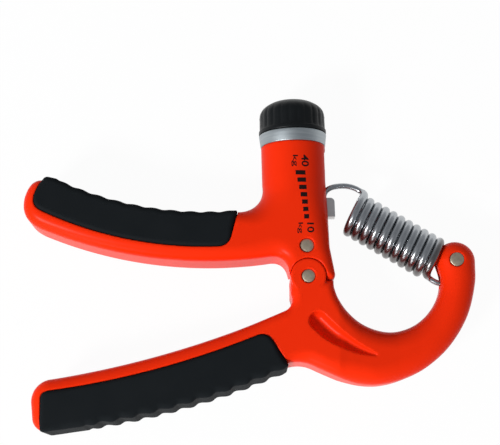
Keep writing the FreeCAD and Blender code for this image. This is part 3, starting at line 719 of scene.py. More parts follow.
def upper_grip_outline():
    points = outline(
        UPPER_GRIP_SHOULDER,
        (UPPER_GRIP_BACK, UPPER_GRIP_CORNER),
        (UPPER_GRIP_MIDDLE, UPPER_GRIP_ROOT),
        UPPER_RIBS_START,
        (raised(UPPER_RIBS_MIDDLE, UPPER_RIB_HEIGHT), raised(UPPER_RIBS_END, UPPER_RIB_HEIGHT)),
    )
    points = round_corners(points, [UPPER_GRIP_CORNER, UPPER_GRIP_ROOT], UPPER_GRIP_BEND)
    return round_corners(points, [UPPER_RIBS_START, UPPER_GRIP_SHOULDER], UPPER_GRIP_SHARP_BEND)


def lower_grip_outline():
    points = outline(
        LOWER_GRIP_HEEL,
        LOWER_GRIP_CORNER,
        (LOWER_GRIP_MIDDLE, LOWER_GRIP_ROOT),
        LOWER_RIBS_START,
        (raised(LOWER_RIBS_MIDDLE, -LOWER_RIB_HEIGHT), raised(LOWER_RIBS_END, -LOWER_RIB_HEIGHT)),
    )
    points = round_corners(points, [LOWER_GRIP_CORNER], LOWER_GRIP_CORNER_BEND)
    points = round_corners(points, [LOWER_GRIP_ROOT], LOWER_GRIP_ROOT_BEND)
    return round_corners(points, [LOWER_RIBS_START, LOWER_GRIP_HEEL], LOWER_GRIP_SHARP_BEND)


def upper_grip_form(x, y, z):
    ribs = (UPPER_RIBS, UPPER_RIB_HEIGHT, UPPER_RIB_WAVE)
    return grip_form(x, y, z, upper_grip_outline(), UPPER_RIBBED_SIDE, *ribs)


def lower_grip_form(x, y, z):
    ribs = (LOWER_RIBS, LOWER_RIB_HEIGHT, LOWER_RIB_WAVE)
    return grip_form(x, y, z, lower_grip_outline(), LOWER_RIBBED_SIDE, *ribs)


def pocket(grip, x, y):
    """Room for a grip in its handle."""
    return outline_distance(grip, x, y) - POCKET_GAP


def cut(body, *tools):
    """A form with other forms taken away."""
    for tool in tools:
        body = np.maximum(body, -tool)
    return body


# The lower handle, with its hub and hook arm

# Its outline, from the neck along the grip to the tip, and back to the hub's foot
LOWER_NECK = ((-6.1, -9.9), (-8.0, -11.45))
LOWER_INNER = ((-42.4, -24.1), (-84.6, -33.9))
LOWER_TIP_CORNER = ((-89.3, -36.2), (-91.2, -41.5))
LOWER_TIP = (-90.7, -46.5)
LOWER_HEEL_CORNER = ((-89.6, -49.4), (-86.8, -51.0))
LOWER_OUTER = ((-48.0, -43.8), (-9.4, -29.8))
HUB_FOOT = ((-5.0, -28.4), (0.8, -29.2))
ARM_OUTER = (
    (0.8, -29.2), (5.9, -31.5), (11.5, -33.8), (17.6, -35.3), (24.2, -35.3), (31.4, -33.4),
    (39.5, -29.4), (47.4, -22.3), (53.5, -12.4), (56.4, -1.6), (56.7, 6.2),
)
ARM_INNER = (
    (43.1, 6.2), (44.7, 0.2), (43.7, -5.9), (40.2, -11.6), (35.0, -15.8), (28.6, -17.8),
    (22.6, -17.2), (17.2, -14.9), (12.9, -11.3), (10.0, -7.3), (8.6, -3.6), (8.4, -1.2),
)
# Along X: half thickness of the arm and how round its edges are
ARM_AT = (4.0, 10.0, 12.5, 17.5, 23.5, 30.0, 37.0, 44.0)
ARM_HALF = (11.0, 10.9, 10.4, 9.6, 8.8, 8.0, 7.5, 7.2)
ARM_BEND = (2.8, 3.6, 4.4, 5.4, 6.0, 6.2, 6.2, 6.0)
# Along X: where the hub's edges turn into the arm's, and where the handle's grow rounder to the tip
ARM_BLEND = (3.0, 12.0)
TIP_BLEND = (-24.0, -10.0)
# Where the hub's foot grows rounder: along Y, and along X from and to
FOOT_BLEND_UP = (-27.0, -18.0)
FOOT_BLEND_FROM = (-8.0, 0.0)
FOOT_BLEND_TO = (14.0, 24.0)
# The crescent pressed into the hub: places and radii of its balls, how far their centres stand off
# the face as a share of the radius, and how soft its edge is
SCOOP = ((3.0, -14.9, 3.0), (6.5, -18.2, 2.9), (10.5, -21.0, 2.4), (16.0, -23.9, 1.6), (22.0, -26.0, 0.5))
SCOOP_LIFT = -0.1
SCOOP_EDGE = 0.35
# The slit for the spring's loop starts here along X
SLIT_FROM = 20


def lower_outline():
    top = (ARM_PIN.x, ARM_PIN.y + ARM_TIP_RADIUS)
    tip = outline((ARM_PIN.x + ARM_TIP_RADIUS, ARM_PIN.y), (top, (ARM_PIN.x - ARM_TIP_RADIUS, ARM_PIN.y)))
    handle = outline(
        (0.0, ARM_INNER[-1][1]),
        (0.0, 0.0),
        (-EAR_RADIUS, 0.0),
        (-EAR_RADIUS, -EAR_RADIUS),
        LOWER_NECK,
        LOWER_INNER,
        LOWER_TIP_CORNER,
        LOWER_TIP,
        LOWER_HEEL_CORNER,
        LOWER_OUTER,
        HUB_FOOT,
    )
    return np.concatenate([handle, smooth_run(ARM_OUTER)[1:], tip[1:-1], smooth_run(ARM_INNER)])


def scoop_form(x, y, z, face):
    """The crescent: a run of shrinking balls along a curve, on both faces."""
    path = smooth_run(SCOOP, 8)
    nearest = np.full(np.broadcast(x, z).shape, 1e9)
    height = np.abs(z) - face
    for px, py, radius in path:
        off = np.sqrt((x - px) ** 2 + (y - py) ** 2 + (height - radius * SCOOP_LIFT) ** 2) - radius
        nearest = np.minimum(nearest, off)
    return nearest


def pin_hole(x, y, place, radius):
    return np.sqrt((x - place[0]) ** 2 + (y - place[1]) ** 2) - radius - HOLE_GAP


def loop_slit(x, y, z):
    """Room for the spring's loop, open towards the coil."""
    reach = LOOP_RADIUS + WIRE / 2 + LOOP_GAP
    loop_room = np.sqrt((x - LOOP_CENTRE.x) ** 2 + (y - LOOP_CENTRE.y) ** 2) - reach
    mouth = np.maximum(x - LOOP_CENTRE.x, np.abs(y - LOOP_CENTRE.y) - reach)
    return np.maximum(
        np.minimum(loop_room, mouth),
        np.maximum(np.abs(z) - WIRE / 2 - LOOP_GAP, SLIT_FROM - x),
    )


def lower_form(x, y, z):
    edge = outline_distance(lower_outline(), x, y)
    half = np.interp(x, ARM_AT, ARM_HALF)
    bend = np.interp(x, ARM_AT, ARM_BEND)
    bend = HUB_ROUND + (bend - HUB_ROUND) * step_between(x, *ARM_BLEND)
    bend = bend + LOWER_ROUND_MORE * (1 - step_between(x, *TIP_BLEND))
    by_foot = (
        (1 - step_between(y, *FOOT_BLEND_UP))
        * step_between(x, *FOOT_BLEND_FROM)
        * (1 - step_between(x, *FOOT_BLEND_TO))
    )
    bend = bend + HUB_FOOT_ROUND_MORE * by_foot
    body = slab(edge, z, half, bend)
    pivot = np.sqrt(x**2 + y**2)
    body = np.minimum(body, slab(pivot - EAR_RADIUS, z, BODY_HALF, EAR_ROUND))
    tongue_room = np.maximum(pivot - EAR_RADIUS - TONGUE_ROOM, np.abs(z) - TONGUE_HALF)
    body = cut(body, tongue_room, pocket(lower_grip_outline(), x, y))
    body = soft_cut(body, scoop_form(x, y, z, half), SCOOP_EDGE)
    holes = pin_hole(x, y, (0, 0), PIVOT_PIN_RADIUS), pin_hole(x, y, ARM_PIN, PIN_RADIUS)
    return cut(body, loop_slit(x, y, z), *holes)


# The upper handle, with the barrel

# Its outline, from the neck along the grip to the tip, back to the barrel and down to the stop
NECK_CORNER = (-6.3, 1.6)
UPPER_INNER_ROOT = (-7.9, 7.7)
UPPER_INNER_MIDDLE = (-44.2, 5.8)
UPPER_INNER_TIP = (-97.6, 20.0)
UPPER_OUTER_TIP = (-93.0, 36.0)
UPPER_OUTER_MIDDLE = (-58.6, 22.9)
UPPER_OUTER_ROOT = (-23.4, 22.3)
FLARE_MIDDLE = (-17.4, 25.2)
FLARE_TOP = 33.0
BARREL_FOOT_BACK = 11.0
STOP_FOOT = (8.2, NECK_BOTTOM)
STOP_NOSE = (9.1, 0.3)
STOP_BACK = (7.4, 10.0)
UPPER_ROOT_BEND = 5.2
TIP_BEND = 8.6
STOP_BEND = 0.9
BEARING_PIN_AT = (3.25, 10.2)


def barrel_place(across, height):
    place = BARREL_FOOT + BARREL_ACROSS * across + BARREL_UP * height
    return (place.x, place.y)


def upper_outline():
    points = outline(
        NECK_CORNER,
        UPPER_INNER_ROOT,
        (UPPER_INNER_MIDDLE, UPPER_INNER_TIP),
        UPPER_OUTER_TIP,
        (UPPER_OUTER_MIDDLE, UPPER_OUTER_ROOT),
        (FLARE_MIDDLE, barrel_place(-BARREL_RADIUS, FLARE_TOP)),
        barrel_place(-BARREL_RADIUS, BARREL_TOP + BARREL_PAST),
        barrel_place(BARREL_RADIUS, BARREL_TOP + BARREL_PAST),
        barrel_place(BARREL_RADIUS, BARREL_FOOT_BACK),
        STOP_BACK,
        STOP_NOSE,
        STOP_FOOT,
        (0.0, NECK_BOTTOM),
    )
    points = round_corners(points, [UPPER_INNER_ROOT], UPPER_ROOT_BEND)
    points = round_corners(points, [UPPER_INNER_TIP, UPPER_OUTER_TIP], TIP_BEND)
    return round_corners(points, [STOP_NOSE, STOP_FOOT], STOP_BEND)


def upper_form(x, y, z):
    edge = outline_distance(upper_outline(), x, y)
    across = (x - BARREL_FOOT.x) * BARREL_ACROSS.x + (y - BARREL_FOOT.y) * BARREL_ACROSS.y
    height = (x - BARREL_FOOT.x) * BARREL_UP.x + (y - BARREL_FOOT.y) * BARREL_UP.y
    barrel_bend = np.interp(height, BARREL_BEND_AT, BARREL_BEND)
    on_barrel = step_between(across, *BARREL_BLEND)
    bend = UPPER_ROUND + (barrel_bend - UPPER_ROUND) * on_barrel
    body = slab(edge, z, BODY_HALF, bend)
    pivot = np.sqrt(x**2 + y**2)
    ears = np.maximum(pivot - EAR_RADIUS - EAR_GAP, TONGUE_HALF - TONGUE_GAP - np.abs(z))
    body = cut(body, ears, y - NECK_BOTTOM)
    straight = np.maximum(np.abs(x) - EAR_RADIUS, np.abs(y - TONGUE_LENGTH / 2) - TONGUE_LENGTH / 2)
    tongue = np.minimum(pivot - EAR_RADIUS, straight)
    body = np.minimum(body, np.maximum(tongue, np.abs(z) - TONGUE_HALF + TONGUE_GAP))
    body = np.maximum(body, height - BARREL_TOP)
    bore = np.maximum(np.sqrt(across**2 + z**2) - BORE_RADIUS, BORE_BOTTOM - height)
    slot_ends = np.maximum(SLOT_BOTTOM - height, height - SLOT_TOP)
    slot = np.maximum(np.maximum(np.abs(z) - SLOT_HALF, -across), slot_ends)
    bearing = pin_hole(x, y, barrel_place(*BEARING_PIN_AT), PIN_RADIUS)
    holes = pin_hole(x, y, (0, 0), PIVOT_PIN_RADIUS), bearing
    return cut(body, bore, slot, pocket(upper_grip_outline(), x, y), *holes)


def make_bodies():
    lower = moulded("lower_body", lower_form, LOWER_BOX, CELL)
    make_object("lower_body", lower, ORANGE, "lower", "orange_plastic", "lower_handle")
    upper = moulded("upper_body", upper_form, UPPER_BOX, CELL)
    make_object("upper_body", upper, ORANGE, "upper", "orange_plastic", "upper_handle")
    return upper


def make_grips():
    lower = moulded("lower_grip_skin", lower_grip_form, LOWER_GRIP_BOX, GRIP_CELL)
    make_object("lower_grip_skin", lower, RUBBER, "lower", "grip_rubber", "lower_grip")
    upper = moulded("upper_grip_skin", upper_grip_form, UPPER_GRIP_BOX, GRIP_CELL)
    make_object("upper_grip_skin", upper, RUBBER, "upper", "grip_rubber", "upper_grip")


upper_mesh = make_bodies()
make_grips()


# Metal of the CAD frame


def dress(node, material):
    mesh = frame["nodes"][node].data
    mesh.materials.clear()
    mesh.materials.append(material)


for node, material in (
    ("end_bearing", BRASS),
    ("adjusting_screw", PIN_STEEL),
    ("slider", SLIDER_METAL),
    ("thrust_washer", PIN_STEEL),
):
    dress(node, material)


# Turned pieces


# Edges that turn by more than this stay sharp
SHARP = math.radians(40)


def turned(name, profile, place, across, up, count, cut=None):
    """A closed solid turned about up. Its profile gives radius and height, from end to end of the axis."""
    side = up.cross(across)
    verts = [tuple(place + up * profile[0][1])]
    for radius, height in profile[1:-1]:
        for i in range(count):
            angle = 2 * math.pi * i / count
            reach = radius - (cut(angle, height) if cut else 0)
            out = across * math.cos(angle) + side * math.sin(angle)
            verts.append(tuple(place + up * height + out * reach))
    verts.append(tuple(place + up * profile[-1][1]))
    last = len(verts) - 1
    faces = []
    for i in range(count):
        j = (i + 1) % count
        faces.append((0, 1 + j, 1 + i))
        faces.append((last, last - count + i, last - count + j))
        for k in range(len(profile) - 3):
            a = 1 + k * count
            faces.append((a + i, a + j, a + count + j, a + count + i))
    mesh = bpy.data.meshes.new(name)
    mesh.from_pydata(to_row(verts).tolist(), [], faces)
    mesh.polygons.foreach_set("use_smooth", [True] * len(mesh.polygons))
    shape = bmesh.new()
    shape.from_mesh(mesh)
    bmesh.ops.recalc_face_normals(shape, faces=shape.faces)
    for edge in shape.edges:
        if edge.calc_face_angle(0) > SHARP:
            edge.smooth = False
    shape.to_mesh(mesh)
    shape.free()
    mesh.update()
    return mesh


def quarter(radius, height, bend, start, count=6):
    """A quarter round of a profile, centred at radius and height, from an angle in degrees."""
    angles = [math.radians(start + 90 * i / count) for i in range(count + 1)]
    return [(radius + bend * math.cos(a), height + bend * math.sin(a)) for a in angles]


def flute(angle, height):
    """Faint flutes that fade out at the rim and on the crown."""
    fade_in = step_between(height, *(RING_TOP + h for h in FLUTES_FROM))
    fade_out = 1 - step_between(height, *(RING_TOP + h for h in FLUTES_TO))
    return FLUTE_DEPTH * fade_in * fade_out * (0.5 - 0.5 * math.cos(angle * FLUTES)) ** 3


def make_knob():
    foot = RING_TOP + KNOB_GAP
    top = RING_TOP + KNOB_HEIGHT
    shoulder = top - KNOB_SHOULDER
    wall = RING_RADIUS - KNOB_FOOT_ROUND
    rim = foot + KNOB_RIM
    profile = [(0, foot), (wall, foot)]
    profile += quarter(wall, foot + KNOB_FOOT_ROUND, KNOB_FOOT_ROUND, -90, 3)[1:]
    profile += quarter(RING_RADIUS - KNOB_RIM_ROUND, foot + KNOB_RIM_ROUND_AT, KNOB_RIM_ROUND, 0, 3)
    profile += [(wall, rim)]
    profile += [(wall - KNOB_TAPER * t, rim + (shoulder - rim) * t) for t in (0.2, 0.4, 0.6, 0.8)]
    crown = [(wall - KNOB_CROWN_STEP - step_in, shoulder + rise) for step_in, rise in KNOB_CROWN]
    profile += [tuple(p) for p in smooth_run(crown, 5)]
    profile += [(0, top + KNOB_CROWN_TOP)]
    mesh = turned("dial_knob", profile, BARREL_FOOT, BARREL_ACROSS, BARREL_UP, KNOB_SIDES, flute)
    make_object("dial_knob", mesh, KNOB_BLACK, "knob", "knob_plastic", "knob")


def make_ring():
    foot = BARREL_TOP
    foot_radius = BARREL_RADIUS - RING_FOOT_STEP
    step_in, step_down = RING_TAPER
    profile = [(0, foot), (foot_radius, foot)]
    profile += quarter(foot_radius, foot + RING_ROUND, RING_ROUND, -90, 4)[1:]
    profile += [(RING_RADIUS - step_in, RING_TOP - step_down)]
    profile += quarter(RING_RADIUS - RING_ROUND, RING_TOP - RING_ROUND, RING_ROUND, 0, 3)
    profile += [(0, RING_TOP)]
    mesh = turned("collar", profile, BARREL_FOOT, BARREL_ACROSS, BARREL_UP, RING_SIDES)
    make_object("collar", mesh, RING_METAL, "upper", "ring_metal", "collar_ring")


def make_pins():
    for name, place, radius, half, body in (
        ("pivot_pin", (0, 0), PIVOT_PIN_RADIUS, BODY_HALF - PIVOT_PIN_SINK, "lower"),
        ("bearing_pin", barrel_place(*BEARING_PIN_AT), PIN_RADIUS, BODY_HALF - BEARING_PIN_SINK, "upper"),
        ("arm_pin", ARM_PIN.xy, PIN_RADIUS, ARM_HALF[-1] - ARM_PIN_SINK, "lower"),
    ):
        edge = half - PIN_DOME
        dome = [(radius * math.sin(a), edge + PIN_DOME * math.cos(a)) for a in np.linspace(math.pi / 2, 0, 8)]
        low = [(r, -h) for r, h in reversed(dome)]
        profile = [(0, low[0][1])] + low[1:] + dome[:-1] + [(0, dome[-1][1])]
        foot = Vector((*place, 0))
        mesh = turned(name + "_head", profile, foot, Vector((1, 0, 0)), Vector((0, 0, 1)), PIN_SIDES)
        make_object(name + "_head", mesh, PIN_STEEL, body, "pin_steel", name)


make_knob()
make_ring()
make_pins()


# Pieces grown by geometry nodes


def node_group(name, *numbers):
    """A geometry group with named number inputs, and a helper that adds a node to it."""
    group = bpy.data.node_groups.new(name, "GeometryNodeTree")
    group.interface.new_socket("Geometry", in_out="INPUT", socket_type="NodeSocketGeometry")
    for label, kind in numbers:
        group.interface.new_socket(label, in_out="INPUT", socket_type=kind)
    group.interface.new_socket("Geometry", in_out="OUTPUT", socket_type="NodeSocketGeometry")

    def add(kind, **settings):
        node = group.nodes.new(kind)
        for key, value in settings.items():
            setattr(node, key, value)
        return node

    return group, add, group.links.new


def finish_group(add, link, geometry, material):
    """Ends a group in real geometry of one material."""
    real = add("GeometryNodeRealizeInstances")
    dressed = add("GeometryNodeSetMaterial")
    dressed.inputs["Material"].default_value = material
    link(geometry, real.inputs[0])
    link(real.outputs[0], dressed.inputs[0])
    link(dressed.outputs[0], add("NodeGroupOutput").inputs[0])


def grown(name, base, group, values):
    """Runs a group on a base mesh and gives the plain mesh that it makes."""
    carrier = bpy.data.objects.new(name, base)
    bpy.context.scene.collection.objects.link(carrier)
    modifier = carrier.modifiers.new(name, "NODES")
    modifier.node_group = group
    for item in group.interface.items_tree:
        if item.in_out == "INPUT" and item.name in values:
            modifier[item.identifier] = values[item.name]
    bpy.context.view_layer.update()
    ready = carrier.evaluated_get(bpy.context.evaluated_depsgraph_get())
    mesh = bpy.data.meshes.new_from_object(ready)
    mesh.name = name
    bpy.data.objects.remove(carrier)
    return mesh


def wire_group():
    """Sweeps a round wire along the base mesh's edges."""
    group, add, link = node_group("wire", ("Radius", "NodeSocketFloat"), ("Sides", "NodeSocketInt"))
    source = add("NodeGroupInput")
    path = add("GeometryNodeMeshToCurve")
    share = add("GeometryNodeInputNamedAttribute", data_type="FLOAT")
    share.inputs["Name"].default_value = "thickness"
    ring = add("GeometryNodeCurvePrimitiveCircle")
    sweep = add("GeometryNodeCurveToMesh")
    sweep.inputs["Fill Caps"].default_value = True
    smooth = add("GeometryNodeSetShadeSmooth")
    link(source.outputs["Geometry"], path.inputs[0])
    link(source.outputs["Radius"], ring.inputs["Radius"])
    link(source.outputs["Sides"], ring.inputs["Resolution"])
    link(path.outputs[0], sweep.inputs["Curve"])
    link(share.outputs["Attribute"], sweep.inputs["Scale"])
    link(ring.outputs["Curve"], sweep.inputs["Profile Curve"])
    link(sweep.outputs[0], smooth.inputs[0])
    finish_group(add, link, smooth.outputs[0], SPRING_STEEL)
    return group


def bars_group():
    """The scale: a run of bars that grow shorter, with their right ends drifting along a slant."""
    numbers = [("Count", "NodeSocketInt")]
    numbers += [(n, "NodeSocketFloat") for n in ("Pitch", "Long", "Short", "Tall", "Drift", "Curve")]
    group, add, link = node_group("bars", *numbers)
    source = add("NodeGroupInput")

    def maths(operation, a, b):
        node = add("ShaderNodeMath", operation=operation)
        for socket, value in zip(node.inputs, (a, b)):
            if isinstance(value, (int, float)):
                socket.default_value = value
            else:
                link(value, socket)
        return node.outputs[0]

    index = add("GeometryNodeInputIndex").outputs[0]
    share = maths("DIVIDE", index, maths("SUBTRACT", source.outputs["Count"], 1))
    points = add("GeometryNodeMeshLine")
    points.inputs["Offset"].default_value = (0, 0, 0)
    link(source.outputs["Count"], points.inputs["Count"])
    offset = add("ShaderNodeCombineXYZ")
    link(maths("MULTIPLY", share, source.outputs["Drift"]), offset.inputs["X"])
    link(maths("MULTIPLY", index, maths("MULTIPLY", source.outputs["Pitch"], -1)), offset.inputs["Y"])
    spread = add("GeometryNodeSetPosition")
    link(points.outputs[0], spread.inputs["Geometry"])
    link(offset.outputs[0], spread.inputs["Offset"])
    bar = add("GeometryNodeMeshGrid")
    bar.inputs["Size X"].default_value = 1
    bar.inputs["Vertices X"].default_value = BAR_CORNERS[0]
    bar.inputs["Vertices Y"].default_value = BAR_CORNERS[1]
    link(source.outputs["Tall"], bar.inputs["Size Y"])
    # A bar grows to the left of its point
    ended = add("GeometryNodeTransform")
    ended.inputs["Translation"].default_value = (-0.5, 0, 0)
    link(bar.outputs["Mesh"], ended.inputs["Geometry"])
    left = maths("POWER", maths("SUBTRACT", 1, share), source.outputs["Curve"])
    longer = maths("SUBTRACT", source.outputs["Long"], source.outputs["Short"])
    scale = add("ShaderNodeCombineXYZ")
    scale.inputs["Y"].default_value = 1
    scale.inputs["Z"].default_value = 1
    link(maths("ADD", source.outputs["Short"], maths("MULTIPLY", longer, left)), scale.inputs["X"])
    placed = add("GeometryNodeInstanceOnPoints")
    link(spread.outputs[0], placed.inputs["Points"])
    link(ended.outputs[0], placed.inputs["Instance"])
    link(scale.outputs[0], placed.inputs["Scale"])
    finish_group(add, link, placed.outputs[0], INK)
    return group


# The spring


def curve_run(stations):
    """A smooth run through places with headings."""
    run = []
    for (p, t), (q, u) in zip(stations, stations[1:]):
        length = (q - p).length
        # Turning ends need longer tangents for the run to follow a circle
        reach = length / max(0.5, (1 + t.normalized().dot(u.normalized())) / 2) ** 0.5
        count = max(2, int(length / WIRE_STEP))
        for i in range(count):
            s = i / count
            a, b = 2 * s**3 - 3 * s**2 + 1, s**3 - 2 * s**2 + s
            c, d = 3 * s**2 - 2 * s**3, s**3 - s**2
            run.append(p * a + t * (b * reach) + q * c + u * (d * reach))
    run.append(stations[-1][0])
    return run


def coil_station(angle):
    """The wire's place and heading on the coil, at an angle in degrees from the first turn's top."""
    a = math.radians(angle)
    whole = COIL_TURNS * 360 + 180 - 2 * COIL_LEAVES
    along = (angle - COIL_LEAVES - whole / 2) / 360 * COIL_PITCH
    radial = COIL_OUT * math.cos(a) + Vector((0, 0, math.sin(a)))
    round_it = Vector((0, 0, math.cos(a))) - COIL_OUT * math.sin(a)
    heading = round_it * COIL_RADIUS + COIL_AXIS * (COIL_PITCH / 2 / math.pi)
    return COIL_CENTRE + COIL_AXIS * along + radial * COIL_RADIUS, heading.normalized()


def loop_station(angle):
    a = math.radians(angle)
    place = LOOP_CENTRE + Vector((math.cos(a), math.sin(a), 0)) * LOOP_RADIUS
    return place, Vector((-math.sin(a), math.cos(a), 0))


def thickness(place):
    """The wire's thickness at a place, as a share of the coil's wire."""
    from_middle = Vector(place) - COIL_CENTRE
    along = from_middle.dot(COIL_AXIS)
    out = (from_middle - COIL_AXIS * along).length
    thin = max(
        step_between(abs(along), *THIN_ALONG),
        step_between(out, *(COIL_RADIUS + t for t in THIN_OUT)),
    )
    return 1 + (END_WIRE / COIL_WIRE - 1) * float(thin)


def wire_piece(name, run, first, second, start, end, *nodes):
    """A length of wire; its two bodies, start and end are not used."""
    base = bpy.data.meshes.new(name + "_path")
    links = [(i, i + 1) for i in range(len(run) - 1)]
    base.from_pydata(to_row([tuple(p) for p in run]).tolist(), links, [])
    shares = base.attributes.new("thickness", "FLOAT", "POINT")
    shares.data.foreach_set("value", [thickness(p) for p in run])
    mesh = grown(name, base, wire_group(), {"Radius": COIL_WIRE / 2 * MM, "Sides": WIRE_SIDES})
    piece = make_object(name, mesh, None, None, "spring_steel", *nodes)
    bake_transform(piece)


def make_spring():
    last = COIL_TURNS * 360 + 180 - COIL_LEAVES
    # The two halves meet under the coil
    middle = (COIL_LEAVES + last) / 2 + 180
    foot = Vector((*barrel_place(HOOK_ACROSS, HOOK_FOOT), 0))
    leg = Vector((*barrel_place(HOOK_ACROSS, HOOK_FOOT + HOOK_LEG), 0))
    hook = [(foot, BARREL_UP), (leg, BARREL_UP), HOOK_CREST, HOOK_SHOULDER]
    first = curve_run(hook + [coil_station(COIL_LEAVES)])[:-1]
    first += [coil_station(a)[0] for a in np.arange(COIL_LEAVES, middle, TURN_STEP)]
    first += [coil_station(middle)[0]]
    second = [coil_station(a)[0] for a in np.linspace(middle, last, TURN_STEPS)][:-1]
    loop = [loop_station(a) for a in np.linspace(LOOP_FROM, LOOP_TO, LOOP_STEPS)]
    second += curve_run([coil_station(last)] + loop)
    start = COIL_CENTRE - COIL_AXIS * COIL_REACH
    end = COIL_CENTRE + COIL_AXIS * COIL_REACH
    hook_bodies = ("spring_coil", "spring_hook")
    loop_bodies = ("spring_loop", "spring_coil")
    wire_piece("spring_hook_half", first, *hook_bodies, COIL_CENTRE, start, "spring_hook")
    wire_piece("spring_loop_half", second, *loop_bodies, end, COIL_CENTRE, "spring_coil", "spring_loop")


make_spring()


# Print on the barrel, as across and height on it


def laid(name, mesh, tree):
    """Lays a flat mesh, drawn as across and height on the barrel, onto the upper body."""
    shape = bmesh.new()
    shape.from_mesh(mesh)
    for vert in shape.verts:
        x, y = barrel_place(vert.co.x, vert.co.y)
        hit = tree.ray_cast(Vector(to_row((x, y, ABOVE_BODY))), Vector((0, 0, -1)))[0]
        vert.co = hit + Vector((0, 0, PRINT_LIFT * MM))
    bmesh.ops.recalc_face_normals(shape, faces=shape.faces)
    for face in shape.faces:
        if face.normal.z < 0:
            face.normal_flip()
        face.smooth = True
    shape.to_mesh(mesh)
    shape.free()
    mesh.name = name
    make_object(name, mesh, INK, "upper", "orange_plastic")


def letters(words, box, bold):
    """Flat letters, turned a quarter turn clockwise and fitted into a box of across and height."""
    curve = bpy.data.curves.new(words, "FONT")
    curve.body = words
    curve.size = 1
    curve.offset = bold
    carrier = bpy.data.objects.new(words, curve)
    bpy.context.scene.collection.objects.link(carrier)
    bpy.context.view_layer.update()
    ready = carrier.evaluated_get(bpy.context.evaluated_depsgraph_get())
    mesh = bpy.data.meshes.new_from_object(ready)
    bpy.data.objects.remove(carrier)
    shape = bmesh.new()
    shape.from_mesh(mesh)
    bmesh.ops.remove_doubles(shape, verts=shape.verts, dist=1e-5)
    xs = [v.co.x for v in shape.verts]
    ys = [v.co.y for v in shape.verts]
    (left, right), (top, bottom) = box
    for vert in shape.verts:
        reading = (vert.co.x - min(xs)) / (max(xs) - min(xs))
        rise = (vert.co.y - min(ys)) / (max(ys) - min(ys))
        vert.co = Vector((left + (right - left) * rise, top + (bottom - top) * reading, 0))
    # Cut finely, so that they can follow the barrel's round
    for axis, (low, high) in ((Vector((1, 0, 0)), (left, right)), (Vector((0, 1, 0)), (bottom, top))):
        for place in np.arange(low, high, PRINT_CELL):
            parts = shape.verts[:] + shape.edges[:] + shape.faces[:]
            bmesh.ops.bisect_plane(shape, geom=parts, plane_co=axis * float(place), plane_no=axis)
    shape.to_mesh(mesh)
    shape.free()
    return mesh


def make_print():
    corners = [v.co for v in upper_mesh.vertices]
    tree = BVHTree.FromPolygons(corners, [tuple(p.vertices) for p in upper_mesh.polygons])
    for name, words, box, bold in PRINT:
        laid(name, letters(words, box, bold), tree)
    empty = bpy.data.meshes.new("bars_base")
    mesh = grown("print_bars", empty, bars_group(), BARS)
    for vert in mesh.vertices:
        vert.co = Vector((vert.co.x + BARS_AT[0], vert.co.y + BARS_AT[1], 0))
    laid("print_bars", mesh, tree)


make_print()


# Floor, light and camera


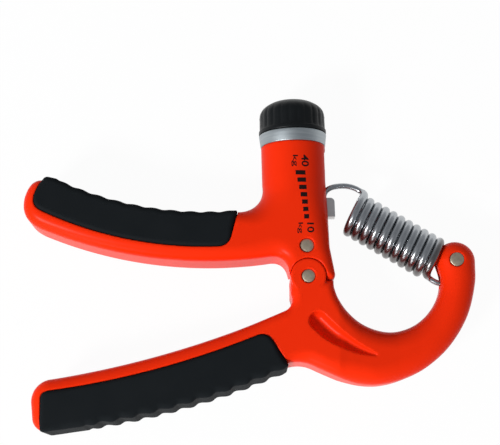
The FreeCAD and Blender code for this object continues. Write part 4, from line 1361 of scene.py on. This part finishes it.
def add_floor():
    """A pale floor that cameras and reflections see nearly white, and that keeps the object's shadow."""
    mesh = bpy.data.meshes.new("floor")
    s = FLOOR_SIZE / 2
    mesh.from_pydata([(-s, -s, 0), (s, -s, 0), (s, s, 0), (-s, s, 0)], [], [(0, 1, 2, 3)])
    floor = bpy.data.objects.new("floor", mesh)
    bpy.context.scene.collection.objects.link(floor)
    floor.location.z = -FLOOR_DROP
    material = bpy.data.materials.new("pale_floor")
    material.use_nodes = True
    tree = material.node_tree
    tree.nodes.clear()
    output = tree.nodes.new("ShaderNodeOutputMaterial")
    diffuse = tree.nodes.new("ShaderNodeBsdfDiffuse")
    diffuse.inputs["Color"].default_value = (FLOOR_GREY, FLOOR_GREY, FLOOR_GREY, 1)
    glow = tree.nodes.new("ShaderNodeEmission")
    glow.inputs["Strength"].default_value = 1.0
    path = tree.nodes.new("ShaderNodeLightPath")
    seen = add_maths(tree, "MAXIMUM", path.outputs["Is Camera Ray"], path.outputs["Is Glossy Ray"])
    seen = add_maths(tree, "MAXIMUM", seen, path.outputs["Is Transmission Ray"])
    mix = tree.nodes.new("ShaderNodeMixShader")
    tree.links.new(add_range(tree, seen, 0, FLOOR_WHITE), mix.inputs["Fac"])
    tree.links.new(diffuse.outputs[0], mix.inputs[1])
    tree.links.new(glow.outputs[0], mix.inputs[2])
    tree.links.new(mix.outputs[0], output.inputs["Surface"])
    mesh.materials.append(material)


def add_lamp(name, place, size, power):
    """A soft square lamp that looks at the object."""
    data = bpy.data.lights.new(name, "AREA")
    data.size = size
    data.energy = power
    lamp = bpy.data.objects.new(name, data)
    bpy.context.scene.collection.objects.link(lamp)
    lamp.location = place
    lamp.rotation_euler = (TARGET - Vector(place)).to_track_quat("-Z", "Y").to_euler()


def add_world():
    """A plain grey studio, lighter near the floor."""
    world = bpy.data.worlds.new("studio")
    bpy.context.scene.world = world
    world.use_nodes = True
    tree = world.node_tree
    background = tree.nodes["Background"]
    place = tree.nodes.new("ShaderNodeTexCoord")
    split = tree.nodes.new("ShaderNodeSeparateXYZ")
    ramp = tree.nodes.new("ShaderNodeValToRGB")
    ramp.color_ramp.elements[0].color = (*SKY_LOW, 1)
    ramp.color_ramp.elements[1].color = (*SKY_HIGH, 1)
    ramp.color_ramp.elements[1].position = SKY_HIGH_FROM
    tree.links.new(place.outputs["Generated"], split.inputs[0])
    tree.links.new(split.outputs["Z"], ramp.inputs["Fac"])
    tree.links.new(ramp.outputs["Color"], background.inputs["Color"])
    background.inputs["Strength"].default_value = SKY_STRENGTH


def add_camera():
    data = bpy.data.cameras.new("camera")
    data.sensor_width = SENSOR
    data.lens = LENS
    data.clip_start = 0.01
    camera = bpy.data.objects.new("camera", data)
    bpy.context.scene.collection.objects.link(camera)
    back = Vector((0, -math.cos(CAMERA_UP), math.sin(CAMERA_UP)))
    camera.location = TARGET + back * CAMERA_DISTANCE
    camera.rotation_euler = (-back).to_track_quat("-Z", "Y").to_euler()
    bpy.context.scene.camera = camera


add_floor()
add_world()
for lamp in LAMPS:
    add_lamp(*lamp)
add_camera()
bpy.context.scene.view_settings.view_transform = "Standard"
